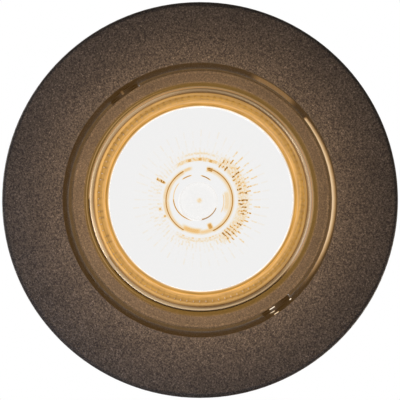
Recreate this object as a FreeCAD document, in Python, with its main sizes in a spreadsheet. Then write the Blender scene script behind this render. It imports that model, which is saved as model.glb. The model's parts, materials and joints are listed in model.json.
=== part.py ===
import FreeCAD, Part
import math
import os

import Sketcher
from FreeCAD import Placement, Rotation, Vector

# A recessed spotlight that tilts, 92 mm across, as it hangs in a ceiling.
# The origin is on the trim's axis, in the plane of the ceiling's underside. +Z goes up into the ceiling's
# void and the light shines down along -Z. The lamp tilts about the X axis and the two spring clips are at
# +Y (clip a) and -Y (clip b). All lengths are in millimetres.

# The driving sizes, which fill the document's sheet.
sizes = {
    # trim ring: one aluminium casting, a flat flange with a collar behind it
    "flange_width": 12.33,
    "flange_depth": 3.2,
    "rim_round": 1.1,
    "land_width": 2.5,
    "recess_depth": 1.4,
    "opening_draft": 0.5,
    "collar_wall": 1.8,
    "collar_top": 13.0,
    "ear_rise": 3.1,
    "ear_margin": 1.0,
    "ear_pad": 0.23,
    "notch_clear": 0.65,
    "notch_side": 0.4,
    "pivot_pad_radius": 4.4,
    "pivot_pad_rise": 0.55,
    # gimbal ring: the tilting casting, a slice of a ball about the tilt axis
    "tilt_height": 5.1,
    "gimbal_wall": 4.85,
    "ball_gap": 0.82,
    "face_round": 0.35,
    "gimbal_back": 4.5,
    "bore_gap": 0.9,
    "bore_chamfer": 1.1,
    "slot_side": 0.3,
    "seat_clear": 0.1,
    "seat_thickness": 2.2,
    "back_relief": 1.0,
    # pivot screws and the spring washers between the gimbal and the collar
    "screw_radius": 2.0,
    "screw_reach": 2.8,
    "screw_head_radius": 3.6,
    "screw_head_height": 2.0,
    "screw_drive": 2.6,
    "screw_drive_depth": 1.1,
    "washer_radius": 3.9,
    "washer_thickness": 0.5,
    "washer_dish": 0.35,
    "washer_clear": 0.37,
    "running_gap": 0.05,
    # wire ring that holds the lamp
    "ring_wire": 1.6,
    "ring_depth": 2.85,
    "ring_seat": 0.35,
    # halogen lamp of 50 mm with a faceted reflector and a mains base
    "lamp_radius": 25.3,
    "lamp_rim": 3.0,
    "lamp_rim_width": 2.95,
    "lamp_rim_edge": 0.3,
    "glass_thickness": 1.6,
    "glass_bevel": 0.3,
    "glass_ledge": 0.65,
    "bowl_depth": 19.8,
    "neck_bore": 8.2,
    "neck_wall": 2.0,
    "neck_length": 4.5,
    "bowl_wall": 1.9,
    "flank_round": 40.0,
    "capsule_radius": 4.7,
    "capsule_wall": 1.0,
    "capsule_length": 15.0,
    "capsule_setback": 2.45,
    "pinch_width": 8.0,
    "pinch_thickness": 2.6,
    "pinch_length": 7.0,
    "filament_radius": 0.6,
    "filament_length": 6.0,
    "filament_setback": 5.0,
    "lead_radius": 0.35,
    "lead_spread": 1.6,
    "base_width": 24.0,
    "base_depth": 17.0,
    "base_corner": 7.0,
    "base_groove": 1.6,
    "cup_wall": 2.2,
    "cup_depth": 3.2,
    "cup_floor": 3.0,
    "lamp_length": 46.6,
    "pin_spacing": 10.0,
    "pin_radius": 1.5,
    "pin_head_radius": 2.5,
    "pin_length": 7.4,
    "pin_head_height": 3.2,
    "seat_gap": 0.1,
    # ceramic lampholder, pushed on the lamp's pins and turned
    "holder_wall": 2.7,
    "holder_height": 17.0,
    "holder_flat": 10.5,
    "holder_edge": 0.8,
    "keyhole_gap": 0.35,
    "keyhole_back": 0.7,
    "keyhole_turn": 2.6,
    "contact_width": 3.4,
    "contact_thickness": 0.5,
    "contact_height": 7.2,
    "contact_gap": 0.2,
    "contact_foot": 1.8,
    "cap_height": 4.2,
    "cap_inset": 0.6,
    "lead_hole_radius": 1.6,
    "lead_hole_spacing": 8.0,
    "cap_screw_post": 2.9,
    "cap_screw_radius": 1.2,
    "cap_screw_head": 2.0,
    "cap_screw_slot": 0.6,
    "cap_screw_head_height": 1.3,
    "cap_screw_length": 12.0,
    # spring clips: bracket, pin, blade, tip and torsion spring
    "coil_clear": 0.45,
    "hinge_pin_radius": 1.0,
    "hinge_head_radius": 1.6,
    "hinge_head_height": 0.6,
    "bracket_sheet": 0.7,
    "bracket_foot": 2.6,
    "lug_foot": 9.0,
    "lug_side": 0.46,
    "lug_margin": 1.0,
    "lug_crown": 2.1,
    "lug_clear": 0.4,
    "lug_slope": 2.2,
    "rivet_radius": 1.4,
    "rivet_head_radius": 2.4,
    "rivet_head_height": 1.0,
    "rivet_edge": 0.4,
    "rivet_drop": 8.6,
    "rivet_margin": 0.2,
    "rivet_blade_gap": 1.09,
    "blade_sheet": 0.8,
    "neck_half": 2.2,
    "bar_margin": 0.15,
    "blade_flare": 2.4,
    "blade_half": 5.0,
    "blade_corner": 2.2,
    "bead_half": 0.9,
    "bead_rise": 0.35,
    "bead_setback": 1.0,
    "bead_end_gap": 0.6,
    "tip_cover": 5.2,
    "tip_wall": 0.7,
    "tip_clear": 0.2,
    "tip_round": 0.5,
    "spring_wire": 0.7,
    "spring_coil": 2.3,
    "spring_pitch": 1.2,
    "spring_bend": 1.1,
    "spring_bail": 9.0,
    "spring_leg": 5.6,
    "hook_gap": 0.15,
    "spring_gap": 0.1,
    # how far a cutter runs past what it cuts
    "overrun": 2.0,
}
# Angles in degrees, counts, and shares of the sizes that they follow.
angles = {"rest_tilt_angle": 3.1, "clip_rest_angle": 75.0, "ring_opening_angle": 7.0}
counts = {"facet_count": 40, "spring_turns": 3}
facet_depth_shares = (0.0, 0.14, 0.30, 0.47, 0.64, 0.80, 0.92, 1.0)
# Two numbers closer than this are the same.
tolerance = 1e-4

document = FreeCAD.newDocument("RecessedSpotlight")
sheet = document.addObject("Spreadsheet::Sheet", "Sizes")
for row, (word, number) in enumerate({**sizes, **angles, **counts}.items(), start=1):
    sheet.set(f"A{row}", word)
    sheet.set(f"B{row}", str(number))
    sheet.setAlias(f"B{row}", word)
document.recompute()


class Size:
    """A number from the sheet, or one worked out from some, with the words that bind a feature to it."""

    def __init__(self, number, words):
        self.number = number
        self.words = words

    def worked_out(self, other, sign, result):
        words = other.words if isinstance(other, Size) else repr(other)
        return Size(result, f"({self.words} {sign} {words})")

    def __add__(self, other):
        return self.worked_out(other, "+", self.number + amount(other))

    def __sub__(self, other):
        return self.worked_out(other, "-", self.number - amount(other))

    def __mul__(self, other):
        return self.worked_out(other, "*", self.number * amount(other))

    def __truediv__(self, other):
        return self.worked_out(other, "/", self.number / amount(other))

    def __neg__(self):
        return Size(-self.number, f"(0 - {self.words})")


def amount(value):
    return value.number if isinstance(value, Size) else value


def side_of(long_side, short_side):
    """The third side of a right-angled triangle whose longest side and one other are known."""
    number = math.sqrt(long_side.number**2 - short_side.number**2)
    return Size(number, f"sqrt({long_side.words} ^ 2 - {short_side.words} ^ 2)")


def long_side_of(one, other):
    """The longest side of a right-angled triangle whose two others are known."""
    return Size(math.hypot(one.number, other.number), f"sqrt({one.words} ^ 2 + {other.words} ^ 2)")


def ratio_of(name, angle):
    """The sin, cos or tan of an angle in degrees."""
    return Size(getattr(math, name)(math.radians(angle.number)), f"{name}({angle.words})")


def angle_of(name, ratio):
    """The angle in degrees whose sin (asin) or tan (atan) is known."""
    return Size(math.degrees(getattr(math, name)(ratio.number)), f"({name}({ratio.words}) / 1deg)")


def size(word):
    return Size(float(sheet.get(word)), f"Sizes.{word}")


ZERO = Size(0.0, "0")


def bind(thing, path, value):
    """Ties one property of a feature to the sheet."""
    thing.setExpression(path, value.words)


def new_body(name):
    body = document.addObject("PartDesign::Body", name)
    body.Label = name
    return body


def new_sketch(body, name, role):
    plane = next(feature for feature in body.Origin.OriginFeatures if feature.Role == role)
    sketch = body.newObject("Sketcher::SketchObject", name)
    sketch.AttachmentSupport = [(plane, "")]
    sketch.MapMode = "FlatFace"
    return sketch


def hold(sketch, geometry, point, across, up):
    """Fixes one point of a sketch at two bound distances from its origin."""
    for kind, value in (("DistanceX", across), ("DistanceY", up)):
        index = sketch.addConstraint(Sketcher.Constraint(kind, -1, 1, geometry, point, value.number))
        sketch.setExpression(f"Constraints[{index}]", value.words)


def arc_between(start, end, radius, left):
    """The shorter arc of a radius from start to end, and whether it runs clockwise."""
    chord = end - start
    normal = Vector(-chord.y, chord.x, 0).normalize()
    reach = math.sqrt(radius**2 - (chord.Length / 2) ** 2)
    centre = (start + end) / 2 + normal * (reach if left else -reach)
    begin = math.atan2(start.y - centre.y, start.x - centre.x)
    finish = math.atan2(end.y - centre.y, end.x - centre.x)
    circle = Part.Circle(centre, Vector(0, 0, 1), radius)
    if left:
        return Part.ArcOfCircle(circle, begin, finish if finish > begin else finish + math.tau)
    return Part.ArcOfCircle(circle, finish, begin if begin > finish else begin + math.tau)


def outline(sketch, corners, arcs=None):
    """A closed outline through bound corners. arcs gives some edges a radius and the side they turn to."""
    arcs = arcs or {}
    first = sketch.GeometryCount
    total = len(corners)
    places = [Vector(across.number, up.number, 0) for across, up in corners]
    ends = []
    for index in range(total):
        start = places[index]
        end = places[(index + 1) % total]
        if index in arcs:
            radius, left = arcs[index]
            sketch.addGeometry(arc_between(start, end, radius.number, left), False)
            ends.append((1, 2) if left else (2, 1))
        else:
            sketch.addGeometry(Part.LineSegment(start, end), False)
            ends.append((1, 2))
    for index in range(total):
        following = (index + 1) % total
        sketch.addConstraint(Sketcher.Constraint(
            "Coincident", first + index, ends[index][1], first + following, ends[following][0]))
    for index, (across, up) in enumerate(corners):
        hold(sketch, first + index, ends[index][0], across, up)
    for index, (radius, _) in arcs.items():
        place = sketch.addConstraint(Sketcher.Constraint("Radius", first + index, radius.number))
        sketch.setExpression(f"Constraints[{place}]", radius.words)


def box_outline(sketch, left, right, low, high):
    outline(sketch, [(left, low), (right, low), (right, high), (left, high)])


def circle_outline(sketch, across, up, radius):
    index = sketch.addGeometry(
        Part.Circle(Vector(across.number, up.number, 0), Vector(0, 0, 1), radius.number), False)
    hold(sketch, index, 3, across, up)
    place = sketch.addConstraint(Sketcher.Constraint("Radius", index, radius.number))
    sketch.setExpression(f"Constraints[{place}]", radius.words)


def feature(body, kind, name, sketch):
    made = body.newObject(f"PartDesign::{kind}", name)
    made.Profile = sketch
    return made


def turned(body, name, corners, arcs=None, kind="Revolution"):
    """Turns an outline of radius and height about the body's Z axis, to add it or, as a Groove, to cut it."""
    sketch = new_sketch(body, f"{name}_outline", "XZ_Plane")
    outline(sketch, corners, arcs)
    made = feature(body, kind, name, sketch)
    made.ReferenceAxis = (sketch, ["V_Axis"])
    made.Angle = 360.0
    document.recompute()
    return made


def pad(body, name, sketch, length, start=None):
    """Adds material upwards from a sketch, from a bound height if one is given."""
    if start is not None:
        sketch.setExpression("AttachmentOffset.Base.z", start.words)
    made = feature(body, "Pad", name, sketch)
    bind(made, "Length", length)
    document.recompute()
    return made


def cut(body, name, sketch, length=None, start=None, flip=False):
    """Cuts a sketch out of the body: right through both ways, or to a bound depth."""
    if start is not None:
        sketch.setExpression("AttachmentOffset.Base.z", start.words)
    document.recompute()
    before = body.Shape.Volume
    made = feature(body, "Pocket", name, sketch)
    if length is None:
        made.Type = "ThroughAll"
        made.SideType = "Symmetric"
    else:
        bind(made, "Length", length)
        made.Reversed = flip
    document.recompute()
    if before - body.Shape.Volume < tolerance:
        raise ValueError(f"{name} of {body.Label} cuts nothing")
    return made


def edges_where(shape, wanted):
    """The names of a shape's edges whose middle passes a test."""
    names = []
    for index, edge in enumerate(shape.Edges, start=1):
        middle = edge.valueAt((edge.FirstParameter + edge.LastParameter) / 2)
        if wanted(edge, middle):
            names.append(f"Edge{index}")
    return names


def near(value, wanted):
    return abs(value - amount(wanted)) < tolerance


def dress(body, kind, name, wanted, radius):
    """Rounds or chamfers the edges of the body's tip that pass a test."""
    base = body.Tip
    names = edges_where(base.Shape, wanted)
    if not names:
        raise ValueError(f"{name} of {body.Label} finds no edge")
    made = body.newObject(f"PartDesign::{kind}", name)
    made.Base = (base, names)
    bind(made, "Radius" if kind == "Fillet" else "Size", radius)
    document.recompute()
    return made


def circle_at(radius, height):
    """A test for a full circle about the Z axis, by its radius and height."""
    def wanted(edge, middle):
        return (edge.Closed and near(middle.z, height)
                and near(math.hypot(middle.x, middle.y), radius))
    return wanted


def primitive(kind, name, **bound):
    """A Part primitive with bound properties."""
    made = document.addObject(f"Part::{kind}", name)
    for path, value in bound.items():
        bind(made, path, value)
    return made


def move(thing, across=ZERO, along=ZERO, up=ZERO, turn=None):
    """Places a feature at bound distances, after a fixed turn."""
    thing.Placement = Placement(Vector(across.number, along.number, up.number), turn or Rotation())
    for axis, value in (("x", across), ("y", along), ("z", up)):
        thing.setExpression(f"Placement.Base.{axis}", value.words)
    return thing


def combined(kind, name, base, tools):
    """A Part boolean: Cut, or MultiFuse of the base and all the tools."""
    made = document.addObject(f"Part::{kind}", name)
    if kind == "Cut":
        made.Base = base
        made.Tool = tools[0]
    else:
        made.Shapes = [base, *tools]
    document.recompute()
    return made


ALONG_X = Rotation(Vector(0, 1, 0), 90)
ALONG_Y = Rotation(Vector(1, 0, 0), -90)
HALF_TURN = Rotation(Vector(0, 0, 1), 180)

overrun = size("overrun")
running_gap = size("running_gap")
tilt_height = size("tilt_height")
flange_depth = size("flange_depth")
recess_depth = size("recess_depth")

# The lamp's radius sets the gimbal's, and the gimbal's sets the trim's.
lamp_radius = size("lamp_radius")
glass_radius = lamp_radius - size("lamp_rim_width")
bowl_radius = glass_radius - size("glass_ledge")
lamp_shoulder = bowl_radius + size("bowl_wall")
bore_radius = lamp_radius + size("bore_gap")
ball_radius = bore_radius + size("gimbal_wall")
opening_radius = ball_radius + size("ball_gap")
collar_radius = opening_radius + size("collar_wall")
trim_radius = collar_radius + size("flange_width")
ear_face = collar_radius + size("ear_pad")
pivot_face = collar_radius + size("pivot_pad_rise")

# Heights in the tilting head are measured from its tilt axis. Its face is level with the flange's.
face_height = -(tilt_height + flange_depth)
ring_height = face_height + size("ring_depth")
half_wire = size("ring_wire") / 2
lamp_front = ring_height + half_wire + running_gap
lamp_back = lamp_front + size("lamp_rim")
bowl_top = lamp_front + size("glass_thickness") + running_gap
bowl_end = bowl_top + size("bowl_depth")
neck_end = bowl_end + size("neck_length")
neck_radius = size("neck_bore") + size("neck_wall")
capsule_end = neck_end - size("capsule_setback")
capsule_tip = capsule_end - size("capsule_length")
base_end = lamp_front + size("lamp_length")

# The two dished washers on each pivot screw fill the room between the gimbal's slot and the collar.
screw_radius = size("screw_radius")
washer_radius = size("washer_radius")
washer_height = size("washer_thickness") + size("washer_dish")
slot_face = opening_radius - washer_height * 2 - running_gap * 2 - size("washer_clear")

# The lampholder grows outwards from the lamp's pins: a chamber beside each, a screw post and a wall.
holder_start = base_end + size("seat_gap")
holder_end = holder_start + size("holder_height")
keyhole_gap = size("keyhole_gap")
chamber_near = size("pin_spacing") / 2 - size("pin_head_radius") - keyhole_gap
chamber_far = (size("pin_spacing") / 2 + size("pin_head_radius") + size("contact_gap") * 2
               + size("contact_thickness"))
keyhole_radius = size("pin_head_radius") + keyhole_gap
chamber_start = holder_start + size("pin_length") - size("pin_head_height") - keyhole_gap
entry_across = size("pin_spacing") / 2 - size("keyhole_back")
entry_along = size("keyhole_turn")
cap_screw_across = chamber_far + size("cap_screw_post")
holder_radius = cap_screw_across + size("holder_wall")

# A clip hangs on a pin above its ear. Its spring's leg leaves the coil at an angle below level, passes
# through a notch in the ear and the bracket, and ends in a bar that lies over the blade's neck.
clip_rest = size("clip_rest_angle")
spring_wire = size("spring_wire")
spring_coil = size("spring_coil")
spring_bail = size("spring_bail")
hinge_radius = size("hinge_pin_radius")
rivet_radius = size("rivet_radius")
rivet_head = size("rivet_head_radius")
bracket_sheet = size("bracket_sheet")
blade_sheet = size("blade_sheet")
neck_half = size("neck_half")
eye_radius = hinge_radius + running_gap
blade_low = eye_radius
blade_high = blade_low + blade_sheet
ear_top = size("collar_top") + size("ear_rise")
pin_height = ear_top + size("coil_clear") + spring_coil + spring_wire / 2
bracket_face = ear_face + bracket_sheet
rivet_high = pin_height - size("rivet_drop")
rivet_low = size("bracket_foot") + rivet_head + size("rivet_margin")
pin_place = (bracket_face + size("rivet_head_height") + size("rivet_blade_gap")
             - size("rivet_drop") / ratio_of("tan", clip_rest) - blade_low / ratio_of("sin", clip_rest))
bar_height = blade_high + size("spring_gap") + spring_wire / 2
leg_climb = (angle_of("atan", bar_height / spring_bail)
             + angle_of("asin", spring_coil / long_side_of(spring_bail, bar_height)))
leg_fall = clip_rest - leg_climb
coil_turns = size("spring_turns") - (leg_fall + 90) / 360
coil_inner = neck_half + size("spring_gap") + spring_wire / 2
coil_outer = coil_inner + size("spring_pitch") * coil_turns
notch_half = coil_inner + spring_wire / 2 + size("notch_side")
notch_floor = (pin_height - (spring_coil + spring_wire / 2) / ratio_of("cos", leg_fall)
               - (bracket_face - pin_place) * ratio_of("tan", leg_fall) - size("notch_clear"))
bracket_half = coil_outer + size("spring_bend") + size("lug_side") + bracket_sheet
lug_inner = bracket_half - bracket_sheet
lug_reach = pin_place + spring_coil + size("lug_margin")
ear_half = bracket_half + size("ear_margin")
tip_wall = size("tip_wall")
blade_half = size("blade_half")
blade_length = ((pin_height + recess_depth - size("tip_clear")
                 + (blade_low - tip_wall) * ratio_of("cos", clip_rest)) / ratio_of("sin", clip_rest)
                - tip_wall)
blade_neck = spring_bail + spring_wire / 2 + size("bar_margin")
tip_start = blade_length - size("tip_cover")


def seat_in_gimbal(thing):
    """Sets a piece of the tilting head at the tilt axis, leaning by the angle at which it rests."""
    lean = size("rest_tilt_angle")
    thing.Placement = Placement(Vector(0, 0, tilt_height.number), Rotation(Vector(-1, 0, 0), lean.number))
    bind(thing, "Placement.Base.z", tilt_height)
    bind(thing, "Placement.Rotation.Angle", lean)
    return thing


def make_trim_ring():
    """The casting that shows: a flange with a rounded rim, a recess behind it, a collar and two ears."""
    body = new_body("trim_ring")
    inner = opening_radius - size("opening_draft")
    land = trim_radius - size("land_width")
    turned(body, "flange_and_collar", [
        (inner, -flange_depth), (trim_radius, -flange_depth), (trim_radius, ZERO), (land, ZERO),
        (land, -recess_depth), (collar_radius, -recess_depth), (collar_radius, size("collar_top")),
        (inner, size("collar_top"))])
    dress(body, "Fillet", "rim", circle_at(trim_radius, -flange_depth), size("rim_round"))
    sketch = new_sketch(body, "ears_outline", "XY_Plane")
    chord = side_of(inner, ear_half)
    box_outline(sketch, -ear_half, ear_half, chord, ear_face)
    box_outline(sketch, -ear_half, ear_half, -ear_face, -chord)
    pad(body, "ears", sketch, ear_top + recess_depth, start=-recess_depth)
    pivots = new_sketch(body, "pivot_pads_outline", "YZ_Plane")
    circle_outline(pivots, ZERO, tilt_height, size("pivot_pad_radius"))
    pad(body, "pivot_pads", pivots, pivot_face * 2, start=-pivot_face)
    turned(body, "opening", [
        (ZERO, -flange_depth), (opening_radius, -flange_depth), (inner, ear_top), (ZERO, ear_top)],
        kind="Groove")
    holes = new_sketch(body, "pivot_holes_outline", "YZ_Plane")
    circle_outline(holes, ZERO, tilt_height, screw_radius + running_gap)
    cut(body, "pivot_holes", holes)
    rivets = new_sketch(body, "rivet_holes_outline", "XZ_Plane")
    for height in (rivet_low, rivet_high):
        circle_outline(rivets, ZERO, height, rivet_radius)
    cut(body, "rivet_holes", rivets)
    notches = new_sketch(body, "spring_notches_outline", "XZ_Plane")
    box_outline(notches, -notch_half, notch_half, notch_floor, ear_top + overrun)
    cut(body, "spring_notches", notches)
    return body


def make_gimbal_ring():
    """The tilting casting: outside a slice of a ball, inside the bore, the wire's groove and the lamp's seat."""
    body = new_body("gimbal_ring")
    back = size("gimbal_back")
    face_radius = side_of(ball_radius, -face_height)
    back_radius = side_of(ball_radius, back)
    chamfer = size("bore_chamfer")
    groove_radius = bore_radius + size("ring_seat")
    groove_low = ring_height - half_wire - running_gap
    groove_high = lamp_front
    seat_radius = lamp_shoulder + size("seat_clear")
    seat_low = lamp_back + running_gap
    seat_high = seat_low + size("seat_thickness")
    relief = bore_radius + size("back_relief")
    turned(body, "casting", [
        (bore_radius + chamfer, face_height), (face_radius, face_height), (back_radius, back),
        (relief, back), (relief, seat_high), (seat_radius, seat_high), (seat_radius, seat_low),
        (bore_radius, seat_low), (bore_radius, groove_high), (groove_radius, groove_high),
        (groove_radius, groove_low), (bore_radius, groove_low), (bore_radius, face_height + chamfer)],
        {1: (ball_radius, True)})
    dress(body, "Fillet", "face_edge", circle_at(face_radius, face_height), size("face_round"))
    half = washer_radius + size("slot_side")
    slots = new_sketch(body, "pivot_slots_outline", "XY_Plane")
    box_outline(slots, slot_face, ball_radius + overrun, -half, half)
    box_outline(slots, -(ball_radius + overrun), -slot_face, -half, half)
    cut(body, "pivot_slots", slots)
    for name, start, flip in (("right", slot_face + overrun, False), ("left", -(slot_face + overrun), True)):
        hole = new_sketch(body, f"pivot_hole_{name}_outline", "YZ_Plane")
        circle_outline(hole, ZERO, ZERO, screw_radius)
        cut(body, f"pivot_hole_{name}", hole, size("screw_reach") + overrun, start=start, flip=flip)
    return seat_in_gimbal(body)


def make_pivot_screw(name, turn):
    """A pan-head screw from outside the collar into the gimbal, on which it tilts."""
    body = new_body(name)
    head_start = pivot_face + running_gap
    head_end = head_start + size("screw_head_height")
    head_radius = size("screw_head_radius")
    tip = slot_face - size("screw_reach")
    turned(body, "shank_and_head", [
        (ZERO, tip), (screw_radius, tip), (screw_radius, head_start), (head_radius, head_start),
        (head_radius, head_end), (ZERO, head_end)])
    dress(body, "Fillet", "head_edge", circle_at(head_radius, head_end), size("screw_head_height") / 2)
    drive = new_sketch(body, "drive_outline", "XY_Plane")
    half = size("screw_drive") / 2
    arm = half / 3
    cross = [(half, -arm), (half, arm), (arm, arm), (arm, half), (-arm, half), (-arm, arm), (-half, arm),
             (-half, -arm), (-arm, -arm), (-arm, -half), (arm, -half), (arm, -arm)]
    outline(drive, cross)
    cut(body, "drive", drive, size("screw_drive_depth"), start=head_end)
    lean = Rotation(Vector(-1, 0, 0), size("rest_tilt_angle").number)
    return move(body, up=tilt_height, turn=lean * turn * ALONG_X)


def make_friction_washers(name, turn):
    """Two dished spring washers, rim to rim, that press the gimbal's slot away from the collar."""
    inner = screw_radius + running_gap
    rim = washer_radius
    dish = size("washer_dish")
    thickness = size("washer_thickness")
    low = slot_face + running_gap
    middle = low + washer_height
    high = middle + running_gap
    pair = []
    for place, corners in (
            ("inner", [(inner, low), (rim, low + dish), (rim, middle), (inner, low + thickness)]),
            ("outer", [(inner, high + dish), (rim, high), (rim, high + thickness),
                       (inner, high + dish + thickness)])):
        body = new_body(f"{name}_{place}")
        turned(body, "dish", corners)
        pair.append(body)
    both = document.addObject("Part::Compound", name)
    both.Links = pair
    document.recompute()
    return move(both, up=tilt_height, turn=turn * ALONG_X)


def make_retaining_ring():
    """The sprung wire ring in the gimbal's groove, with an opening to pinch it out by."""
    ring = primitive("Torus", "retaining_ring", Radius2=half_wire,
                     Radius1=bore_radius + size("ring_seat") - half_wire)
    bind(ring, "Angle3", Size(0, "360 - Sizes.ring_opening_angle"))
    lean = Rotation(Vector(-1, 0, 0), size("rest_tilt_angle").number)
    start = Rotation(Vector(0, 0, 1), 90 + size("ring_opening_angle").number / 2)
    ring.Placement = Placement(Vector(0, 0, tilt_height.number), lean).multiply(
        Placement(Vector(0, 0, ring_height.number), start))
    return ring


def make_lamp_reflector():
    """The lamp's pressed glass reflector. Its bowl is cut by a loft of polygons, which leaves flat facets."""
    blank = new_body("reflector_blank")
    turned(blank, "glass", [
        (ZERO, lamp_front), (lamp_radius, lamp_front), (lamp_radius, lamp_back), (lamp_shoulder, lamp_back),
        (neck_radius, bowl_end), (neck_radius, neck_end), (ZERO, neck_end)],
        {3: (size("flank_round"), True)})
    dress(blank, "Fillet", "rim_edge", circle_at(lamp_radius, lamp_front), size("lamp_rim_edge"))
    turned(blank, "glass_seat", [
        (ZERO, lamp_front), (glass_radius + running_gap, lamp_front), (glass_radius + running_gap, bowl_top),
        (ZERO, bowl_top)], kind="Groove")
    sections = []
    neck_bore = size("neck_bore")
    span = bowl_radius * bowl_radius - neck_bore * neck_bore
    for index, share in enumerate(facet_depth_shares):
        section = document.addObject("Part::RegularPolygon", f"facet_section_{index}")
        bind(section, "Polygon", size("facet_count"))
        squared = bowl_radius * bowl_radius - span * share
        bind(section, "Circumradius", Size(0, f"sqrt({squared.words})"))
        move(section, up=bowl_top + size("bowl_depth") * share)
        sections.append(section)
    facets = document.addObject("Part::Loft", "facet_loft")
    facets.Sections = sections
    facets.Solid = True
    facets.Ruled = True
    neck = primitive("Cylinder", "neck_cutter", Radius=neck_bore, Height=size("neck_length") + overrun * 2)
    move(neck, up=bowl_end - overrun)
    document.recompute()
    bowl = combined("Cut", "reflector_bowl", blank, [facets])
    return seat_in_gimbal(combined("Cut", "lamp_reflector", bowl, [neck]))


def make_lamp_cover_glass():
    """The clear disc that closes the lamp's front."""
    body = new_body("lamp_cover_glass")
    back = lamp_front + size("glass_thickness")
    turned(body, "disc", [(ZERO, lamp_front), (glass_radius, lamp_front), (glass_radius, back), (ZERO, back)])
    dress(body, "Chamfer", "disc_edge", circle_at(glass_radius, lamp_front), size("glass_bevel"))
    return seat_in_gimbal(body)


def make_lamp_capsule():
    """The quartz capsule: a domed tube pinched flat where its leads come out."""
    body = new_body("lamp_capsule")
    radius = size("capsule_radius")
    tube_start = capsule_tip + radius
    turned(body, "bulb", [(ZERO, capsule_tip), (radius, tube_start), (radius, capsule_end),
                          (ZERO, capsule_end)], {0: (radius, True)})
    wall = size("capsule_wall")
    hollow = radius - wall
    turned(body, "hollow", [(ZERO, capsule_tip + wall), (hollow, tube_start), (hollow, capsule_end - wall),
                            (ZERO, capsule_end - wall)], {0: (hollow, True)}, kind="Groove")
    sketch = new_sketch(body, "pinch_outline", "XY_Plane")
    across = size("pinch_width") / 2
    deep = size("pinch_thickness") / 2
    box_outline(sketch, -across, across, -deep, deep)
    pad(body, "pinch", sketch, size("pinch_length"), start=capsule_end)
    return seat_in_gimbal(body)


def lamp_wire(name, across, low, high, bend):
    """One inner wire: a post beside the axis and a short arm that reaches the filament's end."""
    radius = size("lead_radius")
    post = move(primitive("Cylinder", f"{name}_post", Radius=radius, Height=high - low), across, ZERO, low)
    arm = primitive("Cylinder", f"{name}_arm", Radius=radius, Height=size("lead_spread"))
    left = across if across.number < 0 else ZERO
    move(arm, left, ZERO, bend, ALONG_X)
    return combined("MultiFuse", name, post, [arm])


def make_lamp_filament_and_leads():
    """The filament along the axis and the two wires that hold its ends."""
    radius = size("lead_radius")
    low = capsule_tip + size("filament_setback")
    high = low + size("filament_length")
    floor = capsule_end - size("capsule_wall")
    body = new_body("lamp_filament")
    turned(body, "coil_envelope", [(ZERO, low), (size("filament_radius"), low),
                                   (size("filament_radius"), high), (ZERO, high)])
    spread = size("lead_spread")
    near_wire = lamp_wire("lead_to_back", spread, high + radius, floor, high + radius)
    far_wire = lamp_wire("lead_to_front", -spread, low - radius, floor, low - radius)
    leads = document.addObject("Part::Compound", "lamp_leads")
    leads.Links = [near_wire, far_wire]
    document.recompute()
    return [seat_in_gimbal(body), seat_in_gimbal(leads)]


def rounded_outline(sketch, half_across, half_along, corner):
    """A rectangle about the origin with round corners."""
    across = half_across - corner
    along = half_along - corner
    outline(sketch, [
        (across, -half_along), (half_across, -along), (half_across, along), (across, half_along),
        (-across, half_along), (-half_across, along), (-half_across, -along), (-across, -half_along)],
        {0: (corner, True), 2: (corner, True), 4: (corner, True), 6: (corner, True)})


def pinch_hole(body, start, length, flip):
    """Cuts the slot that the capsule's pinched end passes through."""
    sketch = new_sketch(body, "pinch_hole_outline", "XY_Plane")
    across = size("pinch_width") / 2 + running_gap
    deep = size("pinch_thickness") / 2 + running_gap
    box_outline(sketch, -across, across, -deep, deep)
    cut(body, "pinch_hole", sketch, length, start=start, flip=flip)


def make_lamp_cement():
    """The white cement that fills the neck round the capsule's pinched end."""
    body = new_body("lamp_cement")
    start = capsule_end + running_gap
    end = neck_end - running_gap
    turned(body, "plug", [(ZERO, start), (size("neck_bore") - running_gap, start),
                          (size("neck_bore") - running_gap, end), (ZERO, end)])
    pinch_hole(body, end, end - start, False)
    return seat_in_gimbal(body)


def make_lamp_base():
    """The lamp's ceramic base: a round cup that takes the glass neck, and a block that carries the pins."""
    body = new_body("lamp_base")
    cup = neck_radius + size("cup_wall")
    cup_start = neck_end - size("cup_depth")
    cup_end = neck_end + size("cup_floor")
    turned(body, "cup", [(neck_radius, cup_start), (cup, cup_start), (cup, cup_end), (ZERO, cup_end),
                         (ZERO, neck_end), (neck_radius, neck_end)])
    sketch = new_sketch(body, "block_outline", "XY_Plane")
    rounded_outline(sketch, size("base_width") / 2, size("base_depth") / 2, size("base_corner"))
    pad(body, "block", sketch, base_end - neck_end, start=neck_end)
    pinch_hole(body, neck_end, capsule_end + size("pinch_length") + running_gap - neck_end, True)
    grooves = new_sketch(body, "side_grooves_outline", "XY_Plane")
    side = size("base_depth") / 2
    half = size("base_groove")
    box_outline(grooves, -half, half, side - half / 2, side + overrun)
    box_outline(grooves, -half, half, -(side + overrun), -(side - half / 2))
    cut(body, "side_grooves", grooves, base_end - cup_end, start=cup_end, flip=True)
    return seat_in_gimbal(body)


def make_lamp_pins():
    """The two headed contact pins in the base."""
    pins = []
    for name, across in (("left", -(size("pin_spacing") / 2)), ("right", size("pin_spacing") / 2)):
        shank = primitive("Cylinder", f"pin_shank_{name}", Radius=size("pin_radius"),
                          Height=size("pin_length"))
        move(shank, across, ZERO, base_end)
        head = primitive("Cylinder", f"pin_head_{name}", Radius=size("pin_head_radius"),
                         Height=size("pin_head_height"))
        move(head, across, ZERO, base_end + size("pin_length") - size("pin_head_height"))
        pins.append(combined("MultiFuse", f"lamp_pin_{name}", shank, [head]))
    both = document.addObject("Part::Compound", "lamp_pins")
    both.Links = pins
    document.recompute()
    return seat_in_gimbal(both)


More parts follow.
